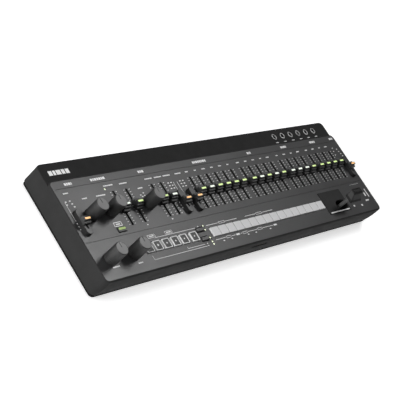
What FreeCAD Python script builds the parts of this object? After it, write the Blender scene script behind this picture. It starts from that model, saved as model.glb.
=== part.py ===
"""Desktop fader synthesiser module: a long, low control box with sliders, knobs, step pads and a joystick.

Frame: X runs along the length (right positive), Y towards the back, Z up.
The origin is on the table, under the middle of the box.  Lengths are in millimetres.
"""
import FreeCAD, Part
import math
import os

import Sketcher
from FreeCAD import Vector

doc = FreeCAD.newDocument("fader_synthesiser")
sheet = doc.addObject("Spreadsheet::Sheet", "sizes")

SIZES = (
    # case
    ("case_length", 430), ("case_back", 58.1), ("case_corner_radius", 5), ("wall", 2),
    ("foot_height", 2), ("foot_radius", 6), ("foot_x", 190), ("foot_y", 42),
    ("bottom_thickness", 2.4), ("bottom_inset", 0.8), ("bottom_front", -54.8),
    ("case_floor", 4.4), ("case_top", 25), ("band_top", 24.25), ("skin_underside", 22.25),
    ("bulge_radius", 80), ("bulge_height", 20), ("bulge_front", -56.3), ("inner_front", -53),
    ("window_half_length", 209), ("window_front", -48), ("window_back", 38),
    # screws and their bosses
    ("boss_radius", 3), ("boss_x", 206), ("boss_middle_x", 70), ("boss_front_y", -50.5),
    ("boss_back_y", 53.5), ("boss_height", 18.5), ("screw_radius", 1.25), ("screw_reach", 8),
    ("screw_head_radius", 2.5), ("screw_head_height", 1.5), ("screw_recess_radius", 2.8),
    ("screw_recess", 1.6),
    # control panel
    ("panel_thickness", 1.6), ("panel_top", 26.6), ("panel_front", -56.3), ("panel_back", 40.3),
    ("panel_edge_radius", 1.5), ("groove_width", 0.5), ("groove_depth", 0.4),
    ("groove_back_y", 31.5), ("groove_front_y", -19.5),
    # circuit board and the posts that carry it
    ("board_underside", 10), ("board_thickness", 1.6), ("board_top", 11.6), ("board_half_length", 210.5),
    ("board_front", -45.5), ("board_back", 46), ("board_tail_half_length", 200), ("board_tail_back", 55),
    ("post_radius", 3), ("post_x", 180), ("post_inner_x", 60), ("post_front_y", -40), ("post_back_y", 36),
    # faders
    ("fader_y", 4.5), ("fader_slot_width", 1.8), ("fader_slot_length", 34), ("fader_pitch", 12.5),
    ("fader_pitch_wide", 12.7), ("fader_first_x", -151), ("fader_second_x", -134.6),
    ("fader_third_x", -101.3), ("fader_fourth_x", -88.7), ("mixer_x", -47.5), ("filter_x", 31.3),
    ("envelope_one_x", 97.5), ("envelope_two_x", 151),
    ("fader_cap_width", 8), ("fader_cap_half", 5), ("fader_step_half", 3.2), ("fader_ridge_half", 1.6),
    ("fader_cap_gap", 0.4), ("fader_low_step", 3.1), ("fader_high_step", 5.3), ("fader_cap_top", 7.3),
    ("fader_stem_width", 1.2), ("fader_stem_depth", 3.2), ("fader_stem_reach", 10.5),
    ("slide_body_width", 8.5), ("slide_body_depth", 45), ("slide_body_height", 7),
    ("slide_groove_width", 2), ("slide_groove_depth", 3.4),
    # selector switches
    ("selector_y", -1.9), ("selector_travel", 5.8), ("selector_one_x", -205.2), ("selector_two_x", -75.5),
    ("selector_three_x", -59.7), ("selector_four_x", 203.8),
    ("pedestal_width", 7), ("pedestal_length", 24), ("pedestal_height", 3.5),
    ("selector_slot_length", 8.6), ("selector_cap_width", 8), ("selector_cap_half", 3.5),
    ("selector_ridge_half", 1.5), ("selector_cap_base", 3.9), ("selector_cap_step", 6.3),
    ("selector_cap_top", 8.5), ("selector_stem_depth", 2),
    ("switch_body_width", 7), ("switch_body_depth", 16),
    # rotary knobs
    ("knob_back_y", 3.4), ("knob_front_y", -37.4), ("knob_one_x", -190.6), ("knob_two_x", -168.4),
    ("knob_three_x", -119.6), ("knob_four_x", -198.4), ("knob_five_x", -170.3),
    ("knob_radius", 6.35), ("knob_top_radius", 6.2), ("knob_disc_radius", 5.85), ("knob_gap", 0.5),
    ("knob_rim_height", 16.5), ("knob_height", 17), ("shaft_radius", 3), ("shaft_reach", 10.6),
    ("shaft_hole_radius", 3.5), ("pointer_width", 0.9), ("pointer_length", 4.6), ("pointer_depth", 0.3),
    ("rotary_width", 10), ("rotary_depth", 11), ("rotary_height", 6.5), ("rotary_bore_radius", 3.3),
    ("rotary_bore_depth", 3.2),
    # push buttons: square, wide and step pads
    ("square_y", -35.8), ("square_first_x", -149.8), ("square_pitch", 11.7), ("square_last_x", -89),
    ("square_side", 9.2), ("square_rise", 1.3), ("square_opening", 10),
    ("wide_one_x", -166.5), ("wide_one_y", -14.3), ("wide_two_x", -76.7), ("wide_two_y", -30.8),
    ("wide_three_x", -76.7), ("wide_three_y", -40.1),
    ("wide_width", 10), ("wide_depth", 4.2), ("wide_rise", 1.2), ("wide_opening_margin", 0.8),
    ("pad_y", -36), ("pad_first_x", -58.6), ("pad_pitch", 11.51), ("pad_width", 10.8), ("pad_depth", 9.05),
    ("pad_rise", 1.2), ("pad_opening_margin", 0.8),
    ("flange_top", -2.2), ("flange_bottom", -3.4), ("flange_margin", 1.9),
    ("button_stem_radius", 1.7), ("button_stem_reach", 8.7),
    ("tact_side", 6), ("tact_height", 3.5), ("tact_plunger_radius", 1.7), ("tact_plunger_height", 5),
    # indicator lamps
    ("lamp_radius", 1), ("lamp_single_x", -158.4), ("lamp_single_y", 24.6), ("lamp_column_x", -69.3),
    # joystick
    ("joystick_x", 150.2), ("joystick_y", -40.6), ("joystick_pivot", 16.6),
    ("plate_centre_x", 141.5), ("plate_centre_y", -35.85), ("plate_width", 40), ("plate_depth", 25.5),
    ("plate_rise", 0.6), ("gate_width", 10), ("gate_length", 18.4),
    ("pot_box_width", 22), ("pot_box_depth", 13), ("pot_box_wall", 1.5), ("pot_box_floor", 1.2),
    ("ring_width", 12), ("ring_depth", 8.8), ("ring_height", 3), ("ring_hole_width", 8.4),
    ("ring_hole_depth", 6.6), ("pin_radius", 1), ("pin_hole_radius", 1.15),
    ("neck_radius", 2), ("hub_half", 3.8), ("hub_radius", 2.2),
    ("head_base", 15), ("head_height", 9.6), ("head_low_width", 21), ("head_low_depth", 10.4),
    ("head_low_shift", -2.8), ("head_top_width", 15), ("head_top_depth", 5.6), ("head_top_shift", 0.8),
    # sockets
    ("jack_y", 49.1), ("jack_first_x", 116.6), ("jack_pitch", 14.5), ("jack_bore_radius", 1.8),
    ("jack_bore_depth", 12), ("jack_nose_radius", 3), ("jack_ring_radius", 3.9), ("jack_ring_height", 0.5),
    ("jack_body_width", 9), ("jack_body_depth", 11), ("jack_hole_radius", 3.15),
    ("usb_x", -150), ("usb_width", 9), ("usb_height", 3.2), ("usb_depth", 7.3), ("usb_shell", 0.3),
    ("usb_tongue_width", 6.7), ("usb_tongue_height", 0.7), ("usb_hole_margin", 0.4),
    ("contact_x", -0.8), ("contact_z", 19.1), ("contact_width", 23.4), ("contact_height", 3),
    ("contact_gap", 0.2), ("contact_recess", 0.9), ("contact_back", -42.5), ("contact_leg", 2.5),
)

LAMP_COLUMN_Y = (-27.7, -31.8, -40, -44.1, -46.7)

for row, (alias, value) in enumerate(SIZES, start=1):
    sheet.set(f"A{row}", alias.replace("_", " "))
    sheet.set(f"B{row}", str(value))
    sheet.setAlias(f"B{row}", alias)
doc.recompute()


def size(name):
    """The number held in the sheet under this name."""
    return float(sheet.get(name))


def value_of(text):
    """The present value of an expression over the sheet."""
    return float(lookup.evalExpression(text))


def s(name):
    """The way an expression names a cell of the sheet."""
    return f"sizes.{name}"


lookup = doc.addObject("App::FeaturePython", "lookup")
nodes = []


def as_node(feature, name):
    """Registers a finished feature as one physical piece."""
    feature.Label = name
    nodes.append(feature)
    return feature


# --- solids made from primitives ---------------------------------------------------------------

def bind(feature, bindings):
    for target, text in bindings.items():
        feature.setExpression(target, str(text))


def box(name, x, y, z, length, width, height):
    """A block centred on x and y, standing on z."""
    block = doc.addObject("Part::Box", name)
    bind(block, {
        "Length": length, "Width": width, "Height": height,
        "Placement.Base.x": f"({x}) - ({length}) / 2",
        "Placement.Base.y": f"({y}) - ({width}) / 2",
        "Placement.Base.z": z,
    })
    return block


def rod(name, x, y, z, radius, height):
    """An upright cylinder standing on z."""
    cylinder = doc.addObject("Part::Cylinder", name)
    bind(cylinder, {
        "Radius": radius, "Height": height,
        "Placement.Base.x": x, "Placement.Base.y": y, "Placement.Base.z": z,
    })
    return cylinder


def lying_rod(name, x, y, z, radius, length, axis):
    """A cylinder lying along the given axis and centred on x, y and z."""
    cylinder = doc.addObject("Part::Cylinder", name)
    cylinder.Placement.Rotation = FreeCAD.Rotation(Vector(0, 0, 1), axis)
    bind(cylinder, {
        "Radius": radius, "Height": length,
        "Placement.Base.x": f"({x}) - ({length}) / 2 * {axis.x}",
        "Placement.Base.y": f"({y}) - ({length}) / 2 * {axis.y}",
        "Placement.Base.z": z,
    })
    return cylinder


def fuse(name, parts):
    joined = doc.addObject("Part::MultiFuse", name)
    joined.Shapes = parts
    joined.Refine = True
    return joined


def cut(name, base, tool):
    remainder = doc.addObject("Part::Cut", name)
    remainder.Base = base
    remainder.Tool = tool
    return remainder


def group(name, parts):
    """Several like solids kept as one piece of the list."""
    together = doc.addObject("Part::Compound", name)
    together.Links = parts
    return together


# --- sketches and part design features ---------------------------------------------------------

def new_body(name, x="0", y="0", z="0"):
    body = doc.addObject("PartDesign::Body", name)
    bind(body, {"Placement.Base.x": x, "Placement.Base.y": y, "Placement.Base.z": z})
    return body


def new_sketch(body, name, plane, offset="0"):
    """A sketch parallel to one of the body's own planes."""
    sketch = body.newObject("Sketcher::SketchObject", name)
    support = next(feature for feature in body.Origin.OriginFeatures if feature.Role == plane)
    sketch.AttachmentSupport = [(support, "")]
    sketch.MapMode = "FlatFace"
    sketch.setExpression("AttachmentOffset.Base.z", str(offset))
    return sketch


def hold(sketch, kind, *references, text):
    """Adds a dimension that follows an expression."""
    index = sketch.addConstraint(Sketcher.Constraint(kind, *references, value_of(text)))
    sketch.setExpression(f"Constraints[{index}]", text)


def pin(sketch, edge, end, across, up):
    """Holds one end of an edge at a place given by two expressions."""
    hold(sketch, "DistanceX", -1, 1, edge, end, text=str(across))
    hold(sketch, "DistanceY", -1, 1, edge, end, text=str(up))


def place(corner):
    return Vector(value_of(str(corner[0])), value_of(str(corner[1])), 0)


def bulging_arc(start, end, radius):
    """An arc that swells out to the right of the way from start to end."""
    chord = end - start
    inward = Vector(-chord.y, chord.x, 0).normalize()
    centre = (start + end) * 0.5 + inward * math.sqrt(radius ** 2 - (chord.Length / 2) ** 2)
    angles = [math.atan2(point.y - centre.y, point.x - centre.x) for point in (start, end)]
    return Part.ArcOfCircle(Part.Circle(centre, Vector(0, 0, 1), radius), *angles)


def add_outline(sketch, corners):
    """A closed outline, anticlockwise; a third entry in a corner bends the edge after it."""
    first = sketch.GeometryCount
    places = [place(corner) for corner in corners]
    for index, corner in enumerate(corners):
        following = places[(index + 1) % len(corners)]
        if len(corner) == 3:
            sketch.addGeometry(bulging_arc(places[index], following, value_of(corner[2])))
        else:
            sketch.addGeometry(Part.LineSegment(places[index], following))
    for index in range(len(corners)):
        after = (index + 1) % len(corners)
        sketch.addConstraint(Sketcher.Constraint("Coincident", first + index, 2, first + after, 1))
    for index, corner in enumerate(corners):
        pin(sketch, first + index, 1, corner[0], corner[1])
        if len(corner) == 3:
            hold(sketch, "Radius", first + index, text=corner[2])


def add_rectangle(sketch, x, y, width, depth):
    left, right = f"({x}) - ({width}) / 2", f"({x}) + ({width}) / 2"
    front, back = f"({y}) - ({depth}) / 2", f"({y}) + ({depth}) / 2"
    add_outline(sketch, ((left, front), (right, front), (right, back), (left, back)))


def add_circle(sketch, x, y, radius):
    edge = sketch.addGeometry(Part.Circle(place((x, y)), Vector(0, 0, 1), value_of(radius)))
    pin(sketch, edge, 3, x, y)
    hold(sketch, "Radius", edge, text=radius)


def add_slot(sketch, x, y, width, length):
    """A slot with round ends whose long way runs along the sketch's second axis."""
    left, right = f"({x}) - ({width}) / 2", f"({x}) + ({width}) / 2"
    low = f"({y}) - (({length}) - ({width})) / 2"
    high = f"({y}) + (({length}) - ({width})) / 2"
    first = sketch.GeometryCount
    radius = value_of(width) / 2
    axis = Vector(0, 0, 1)
    sketch.addGeometry([
        Part.LineSegment(place((right, low)), place((right, high))),
        Part.ArcOfCircle(Part.Circle(place((x, high)), axis, radius), 0, math.pi),
        Part.LineSegment(place((left, high)), place((left, low))),
        Part.ArcOfCircle(Part.Circle(place((x, low)), axis, radius), math.pi, 2 * math.pi),
    ])
    for step in range(4):
        after = (step + 1) % 4
        sketch.addConstraint(Sketcher.Constraint("Coincident", first + step, 2, first + after, 1))
    for side, x, ends in ((0, right, (low, high)), (2, left, (high, low))):
        for end, y in enumerate(ends, start=1):
            pin(sketch, first + side, end, x, y)
    hold(sketch, "DistanceY", -1, 1, first + 1, 3, text=high)
    hold(sketch, "DistanceY", -1, 1, first + 3, 3, text=low)


def pad(body, sketch, length, downward=False):
    feature = body.newObject("PartDesign::Pad", f"{sketch.Name}_pad")
    feature.Profile = sketch
    feature.Reversed = downward
    feature.setExpression("Length", str(length))
    return feature


def pocket(body, sketch, depth, upward=False):
    feature = body.newObject("PartDesign::Pocket", f"{sketch.Name}_pocket")
    feature.Profile = sketch
    feature.Reversed = upward
    feature.setExpression("Length", str(depth))
    return feature


def repeat(body, feature, sketch, pitch, count):
    """Repeats a feature to the right at an even pitch."""
    pattern = body.newObject("PartDesign::LinearPattern", f"{feature.Name}_row")
    pattern.Originals = [feature]
    pattern.Direction = (sketch, ["H_Axis"])
    pattern.setExpression("Length", f"({pitch}) * {count - 1}")
    pattern.Occurrences = count
    body.Tip = pattern
    return pattern


def round_edges(body, base, radius, wanted):
    """Rounds every edge of the base feature that the test picks out."""
    doc.recompute()
    names = [f"Edge{number}" for number, edge in enumerate(base.Shape.Edges, start=1) if wanted(edge)]
    feature = body.newObject("PartDesign::Fillet", f"{base.Name}_round")
    feature.Base = (base, names)
    feature.setExpression("Radius", str(radius))
    body.Tip = feature
    return feature


def is_upright(edge):
    start, end = edge.Vertexes[0].Point, edge.Vertexes[-1].Point
    return abs(start.x - end.x) < 1e-6 and abs(start.y - end.y) < 1e-6 and edge.Length > 0.5


def is_end_upright(edge):
    """Edges that climb the two ends of the case, straight or curved."""
    box_of_edge = edge.BoundBox
    at_end = abs(abs(box_of_edge.XMin) - size("case_length") / 2) < 1e-6 and box_of_edge.XLength < 1e-6
    near_corner = box_of_edge.YMax < size("window_front") or box_of_edge.YMin > size("panel_back") - 1e-6
    return at_end and near_corner and box_of_edge.ZLength > box_of_edge.YLength * 0.9


# --- where the repeated controls stand -----------------------------------------------------------

FADER_ROWS = (
    ("fader_first_x", "fader_pitch", 1), ("fader_second_x", "fader_pitch", 1),
    ("fader_third_x", "fader_pitch", 1), ("fader_fourth_x", "fader_pitch", 1),
    ("mixer_x", "fader_pitch", 6), ("filter_x", "fader_pitch", 5),
    ("envelope_one_x", "fader_pitch_wide", 4), ("envelope_two_x", "fader_pitch_wide", 4),
)
SELECTORS = ("selector_one_x", "selector_two_x", "selector_three_x", "selector_four_x")
KNOBS = (
    ("knob_one_x", "knob_back_y"), ("knob_two_x", "knob_back_y"), ("knob_three_x", "knob_back_y"),
    ("knob_four_x", "knob_front_y"), ("knob_five_x", "knob_front_y"),
)
WIDE_BUTTONS = ("wide_one", "wide_two", "wide_three")
PAD_BANKS = 4
JACKS = 6

fader_places = [
    f"sizes.{start} + {step} * sizes.{pitch}" for start, pitch, count in FADER_ROWS for step in range(count)
]
square_places = [f"sizes.square_first_x + {step} * sizes.square_pitch" for step in range(5)]
square_places.append("sizes.square_last_x")
pad_places = [f"sizes.pad_first_x + {step} * sizes.pad_pitch" for step in range(PAD_BANKS * 4)]
jack_places = [f"sizes.jack_first_x + {step} * sizes.jack_pitch" for step in range(JACKS)]
boss_places = [
    (f"{side} * sizes.boss_x", s(row)) for side in (-1, 1) for row in ("boss_front_y", "boss_back_y")
] + [(f"{side} * sizes.boss_middle_x", s("boss_front_y")) for side in (-1, 1)]
selector_middle = "sizes.selector_y - sizes.selector_travel / 2"


# --- fixed pieces ----------------------------------------------------------------------------------

def make_rubber_feet():
    feet = [
        rod(f"foot_{index}", f"{side} * sizes.foot_x", f"{row} * sizes.foot_y", "0", s("foot_radius"),
            s("foot_height"))
        for index, (side, row) in enumerate(((-1, -1), (1, -1), (1, 1), (-1, 1)), start=1)
    ]
    as_node(group("rubber_feet", feet), "rubber_feet")


def make_bottom_case():
    """Black floor plate, a little smaller than the case, with posts for the circuit board."""
    body = new_body("bottom_case")
    outline = new_sketch(body, "bottom_outline", "XY_Plane", s("foot_height"))
    half = "(sizes.case_length / 2 - sizes.bottom_inset)"
    back = "sizes.case_back - sizes.bottom_inset"
    add_outline(outline, (
        (f"-{half}", s("bottom_front")), (half, s("bottom_front")), (half, back), (f"-{half}", back),
    ))
    plate = pad(body, outline, s("bottom_thickness"))
    round_edges(body, plate, "sizes.case_corner_radius - sizes.bottom_inset", is_upright)
    posts = new_sketch(body, "board_posts", "XY_Plane", s("case_floor"))
    for side in (-1, 1):
        for column in ("post_x", "post_inner_x"):
            for row in ("post_front_y", "post_back_y"):
                add_circle(posts, f"{side} * sizes.{column}", s(row), s("post_radius"))
    pad(body, posts, "sizes.board_underside - sizes.case_floor")
    holes = new_sketch(body, "screw_holes", "XY_Plane", s("foot_height"))
    recesses = new_sketch(body, "screw_recesses", "XY_Plane", s("foot_height"))
    for x, y in boss_places:
        add_circle(holes, x, y, s("screw_radius"))
        add_circle(recesses, x, y, s("screw_recess_radius"))
    pocket(body, holes, s("bottom_thickness"), upward=True)
    body.Tip = pocket(body, recesses, s("screw_recess"), upward=True)
    as_node(body, "bottom_case")


def make_top_case():
    """Moulded shell: swelling front, lowered band at the back, open underneath and under the panel."""
    body = new_body("top_case")
    profile = new_sketch(body, "case_profile", "YZ_Plane", "-sizes.case_length / 2")
    centre_y = "(sizes.bulge_front + sizes.bulge_radius)"

    def front_at(height):
        return f"{centre_y} - sqrt(sizes.bulge_radius ^ 2 - ({height} - sizes.bulge_height) ^ 2)"

    add_outline(profile, (
        (front_at("sizes.case_floor"), s("case_floor")),
        (s("case_back"), s("case_floor")),
        (s("case_back"), s("band_top")),
        (s("panel_back"), s("band_top")),
        (s("panel_back"), s("case_top")),
        (front_at("sizes.case_top"), s("case_top"), s("bulge_radius")),
    ))
    block = pad(body, profile, s("case_length"))
    round_edges(body, block, s("case_corner_radius"), is_end_upright)
    inner_half = "(sizes.case_length / 2 - sizes.wall)"
    inner_back = "sizes.case_back - sizes.wall"
    hollow = new_sketch(body, "hollow", "XY_Plane", s("case_floor"))
    add_outline(hollow, (
        (f"-{inner_half}", s("inner_front")), (inner_half, s("inner_front")),
        (inner_half, inner_back), (f"-{inner_half}", inner_back),
    ))
    pocket(body, hollow, "sizes.skin_underside - sizes.case_floor", upward=True)
    window = new_sketch(body, "window", "XY_Plane", s("case_top"))
    add_outline(window, (
        ("-sizes.window_half_length", s("window_front")), (s("window_half_length"), s("window_front")),
        (s("window_half_length"), s("window_back")), ("-sizes.window_half_length", s("window_back")),
    ))
    pocket(body, window, "sizes.case_top - sizes.skin_underside")
    bosses = new_sketch(body, "bosses", "XY_Plane", s("case_floor"))
    pilots = new_sketch(body, "screw_pilots", "XY_Plane", s("case_floor"))
    for x, y in boss_places:
        add_circle(bosses, x, y, s("boss_radius"))
        add_circle(pilots, x, y, s("screw_radius"))
    pad(body, bosses, s("boss_height"))
    pocket(body, pilots, "sizes.screw_reach + 2", upward=True)
    jack_holes = new_sketch(body, "jack_holes", "XY_Plane", s("band_top"))
    for x in jack_places:
        add_circle(jack_holes, x, s("jack_y"), s("jack_hole_radius"))
    pocket(body, jack_holes, "sizes.band_top - sizes.skin_underside")
    usb_hole = new_sketch(body, "usb_hole", "XZ_Plane", "-sizes.case_back")
    add_rectangle(
        usb_hole, s("usb_x"), "sizes.board_top + sizes.usb_height / 2",
        "sizes.usb_width + sizes.usb_hole_margin", "sizes.usb_height + sizes.usb_hole_margin",
    )
    pocket(body, usb_hole, s("wall"), upward=True)
    contact_hole = new_sketch(body, "contact_hole", "XZ_Plane", "-sizes.bulge_front")
    add_rectangle(contact_hole, s("contact_x"), s("contact_z"), s("contact_width"), s("contact_height"))
    body.Tip = pocket(body, contact_hole, "sizes.inner_front - sizes.bulge_front + 0.5")
    as_node(body, "top_case")


def cut_fader_slots(body):
    for start, pitch, count in FADER_ROWS:
        slot = new_sketch(body, f"slot_at_{start}", "XY_Plane", s("panel_top"))
        add_slot(slot, s(start), s("fader_y"), s("fader_slot_width"), s("fader_slot_length"))
        opening = pocket(body, slot, s("panel_thickness"))
        if count > 1:
            repeat(body, opening, slot, s(pitch), count)


def cut_button_openings(body):
    openings = new_sketch(body, "button_openings", "XY_Plane", s("panel_top"))
    for x in square_places:
        add_rectangle(openings, x, s("square_y"), s("square_opening"), s("square_opening"))
    for button in WIDE_BUTTONS:
        add_rectangle(
            openings, f"sizes.{button}_x", f"sizes.{button}_y",
            "sizes.wide_width + sizes.wide_opening_margin", "sizes.wide_depth + sizes.wide_opening_margin",
        )
    pad_row_middle = f"sizes.pad_first_x + {len(pad_places) - 1} * sizes.pad_pitch / 2"
    pad_row_length = f"{len(pad_places) - 1} * sizes.pad_pitch + sizes.pad_width + sizes.pad_opening_margin"
    pad_row_depth = "sizes.pad_depth + sizes.pad_opening_margin"
    add_rectangle(openings, pad_row_middle, s("pad_y"), pad_row_length, pad_row_depth)
    add_rectangle(
        openings, s("joystick_x"), s("joystick_y"),
        "sizes.pot_box_width + 0.6", "sizes.pot_box_depth + 0.6",
    )
    pocket(body, openings, s("panel_thickness"))


def make_control_panel():
    """Face plate with every opening, two scored lines and the raised seats of the selector switches."""
    body = new_body("control_panel")
    outline = new_sketch(body, "panel_outline", "XY_Plane", s("case_top"))
    middle_y = "(sizes.panel_front + sizes.panel_back) / 2"
    add_rectangle(outline, "0", middle_y, s("case_length"), "sizes.panel_back - sizes.panel_front")
    plate = pad(body, outline, s("panel_thickness"))
    rounded = round_edges(body, plate, s("case_corner_radius"), is_upright)
    top = size("panel_top") - 1e-6
    round_edges(body, rounded, s("panel_edge_radius"), lambda edge: edge.BoundBox.ZMin > top)
    seats = new_sketch(body, "selector_seats", "XY_Plane", s("panel_top"))
    guides = new_sketch(body, "selector_guides", "XY_Plane", "sizes.panel_top + sizes.pedestal_height")
    for x in SELECTORS:
        add_slot(seats, s(x), s("selector_y"), s("pedestal_width"), s("pedestal_length"))
        add_slot(guides, s(x), selector_middle, s("fader_slot_width"), s("selector_slot_length"))
    pad(body, seats, s("pedestal_height"))
    pocket(body, guides, "sizes.pedestal_height + sizes.panel_thickness")
    cut_fader_slots(body)
    cut_button_openings(body)
    round_holes = new_sketch(body, "shaft_and_lamp_holes", "XY_Plane", s("panel_top"))
    for x, y in KNOBS:
        add_circle(round_holes, s(x), s(y), s("shaft_hole_radius"))
    add_circle(round_holes, s("lamp_single_x"), s("lamp_single_y"), s("lamp_radius"))
    for y in LAMP_COLUMN_Y:
        add_circle(round_holes, s("lamp_column_x"), y, s("lamp_radius"))
    pocket(body, round_holes, s("panel_thickness"))
    grooves = new_sketch(body, "grooves", "XY_Plane", s("panel_top"))
    for y in ("groove_back_y", "groove_front_y"):
        add_rectangle(grooves, "0", s(y), "sizes.case_length + 2", s("groove_width"))
    body.Tip = pocket(body, grooves, s("groove_depth"))
    as_node(body, "control_panel")


def make_circuit_board():
    """Board with the press switches that are soldered to it."""
    pieces = [
        box("board_main", "0", "(sizes.board_front + sizes.board_back) / 2", s("board_underside"),
            "2 * sizes.board_half_length", "sizes.board_back - sizes.board_front", s("board_thickness")),
        box("board_tail", "0", "(sizes.board_back + sizes.board_tail_back) / 2", s("board_underside"),
            "2 * sizes.board_tail_half_length", "sizes.board_tail_back - sizes.board_back",
            s("board_thickness")),
    ]
    switch_places = [(x, s("square_y")) for x in square_places]
    switch_places += [(f"sizes.{button}_x", f"sizes.{button}_y") for button in WIDE_BUTTONS]
    switch_places += [(x, s("pad_y")) for x in pad_places]
    for index, (x, y) in enumerate(switch_places, start=1):
        pieces.append(box(f"tact_body_{index}", x, y, s("board_top"), s("tact_side"), s("tact_side"),
                          s("tact_height")))
        pieces.append(rod(f"tact_plunger_{index}", x, y, s("board_top"), s("tact_plunger_radius"),
                          s("tact_plunger_height")))
    as_node(fuse("circuit_board", pieces), "circuit_board")


def slide_housing(name, x, y, width, depth, groove_length):
    """Body of a slide control with the groove its stem runs in."""
    shell = box(f"{name}_shell", x, y, s("board_top"), width, depth, s("slide_body_height"))
    groove_floor = "sizes.board_top + sizes.slide_body_height - sizes.slide_groove_depth"
    groove = box(f"{name}_groove", x, y, groove_floor, s("slide_groove_width"), groove_length,
                 s("slide_groove_depth"))
    return cut(name, shell, groove)


def make_fader_potentiometers():
    bodies = [
        slide_housing(f"slide_pot_{index}", x, s("fader_y"), s("slide_body_width"), s("slide_body_depth"),
                      "sizes.fader_slot_length + 0.5")
        for index, x in enumerate(fader_places, start=1)
    ]
    as_node(group("fader_potentiometers", bodies), "fader_potentiometers")


def make_selector_switches():
    bodies = [
        slide_housing(f"slide_switch_{index}", s(x), selector_middle, s("switch_body_width"),
                      s("switch_body_depth"), "sizes.selector_slot_length + 0.5")
        for index, x in enumerate(SELECTORS, start=1)
    ]
    as_node(group("selector_switches", bodies), "selector_switches")


def make_rotary_potentiometers():
    bodies = []
    for index, (x, y) in enumerate(KNOBS, start=1):
        shell = box(f"rotary_shell_{index}", s(x), s(y), s("board_top"), s("rotary_width"),
                    s("rotary_depth"), s("rotary_height"))
        bore = rod(f"rotary_bore_{index}", s(x), s(y),
                   "sizes.board_top + sizes.rotary_height - sizes.rotary_bore_depth",
                   s("rotary_bore_radius"), s("rotary_bore_depth"))
        bodies.append(cut(f"rotary_pot_{index}", shell, bore))
    as_node(group("rotary_potentiometers", bodies), "rotary_potentiometers")


def make_jack_sockets():
    """Six upright sockets for small plugs, each with a threaded nose and a ring on the band."""
    sockets = []
    for index, x in enumerate(jack_places, start=1):
        body = box(f"jack_body_{index}", x, s("jack_y"), s("board_top"), s("jack_body_width"),
                   s("jack_body_depth"), "sizes.skin_underside - sizes.board_top")
        nose = rod(f"jack_nose_{index}", x, s("jack_y"), s("skin_underside"), s("jack_nose_radius"),
                   "sizes.band_top - sizes.skin_underside")
        ring = rod(f"jack_ring_{index}", x, s("jack_y"), s("band_top"), s("jack_ring_radius"),
                   s("jack_ring_height"))
        solid = fuse(f"jack_solid_{index}", [body, nose, ring])
        bore = rod(f"jack_bore_{index}", x, s("jack_y"),
                   "sizes.band_top + sizes.jack_ring_height - sizes.jack_bore_depth",
                   s("jack_bore_radius"), s("jack_bore_depth"))
        sockets.append(cut(f"jack_{index}", solid, bore))
    as_node(group("jack_sockets", sockets), "jack_sockets")


def make_usb_socket():
    middle = "sizes.case_back - sizes.usb_depth / 2"
    shell = box("usb_shell_block", s("usb_x"), middle, s("board_top"), s("usb_width"), s("usb_depth"),
                s("usb_height"))
    mouth_depth = "sizes.usb_depth - 1"
    mouth = box("usb_mouth", s("usb_x"), f"sizes.case_back - ({mouth_depth}) / 2",
                "sizes.board_top + sizes.usb_shell", "sizes.usb_width - 2 * sizes.usb_shell", mouth_depth,
                "sizes.usb_height - 2 * sizes.usb_shell")
    tongue_depth = "sizes.usb_depth - 1.5"
    tongue_middle = f"sizes.case_back - sizes.usb_depth + 0.5 + ({tongue_depth}) / 2"
    tongue = box("usb_tongue", s("usb_x"), tongue_middle,
                 "sizes.board_top + (sizes.usb_height - sizes.usb_tongue_height) / 2",
                 s("usb_tongue_width"), tongue_depth, s("usb_tongue_height"))
    as_node(fuse("usb_socket", [cut("usb_hollow_shell", shell, mouth), tongue]), "usb_socket")


def make_contact_connector():
    """Right-angled contact strip that looks out through the front of the case."""
    front = "(sizes.bulge_front + sizes.contact_recess)"
    height = "(sizes.contact_height - 2 * sizes.contact_gap)"
    width = "sizes.contact_width - 2 * sizes.contact_gap"
    bar = box("contact_bar", s("contact_x"), f"({front} + sizes.contact_back) / 2",
              f"sizes.contact_z - {height} / 2", width, f"sizes.contact_back - {front}", height)
    leg = box("contact_leg", s("contact_x"), "sizes.contact_back - sizes.contact_leg / 2", s("board_top"),
              width, s("contact_leg"), f"sizes.contact_z - {height} / 2 - sizes.board_top + 0.5")
    as_node(fuse("contact_connector", [bar, leg]), "contact_connector")


def make_case_screws():
    head_base = "(sizes.foot_height + sizes.screw_recess - sizes.screw_head_height)"
    screws = []
    for index, (x, y) in enumerate(boss_places, start=1):
        head = rod(f"screw_head_{index}", x, y, head_base, s("screw_head_radius"), s("screw_head_height"))
        shank = rod(f"screw_shank_{index}", x, y, head_base, s("screw_radius"),
                    "sizes.screw_head_height + sizes.screw_reach")
        screws.append(fuse(f"screw_{index}", [head, shank]))
    as_node(group("case_screws", screws), "case_screws")


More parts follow.
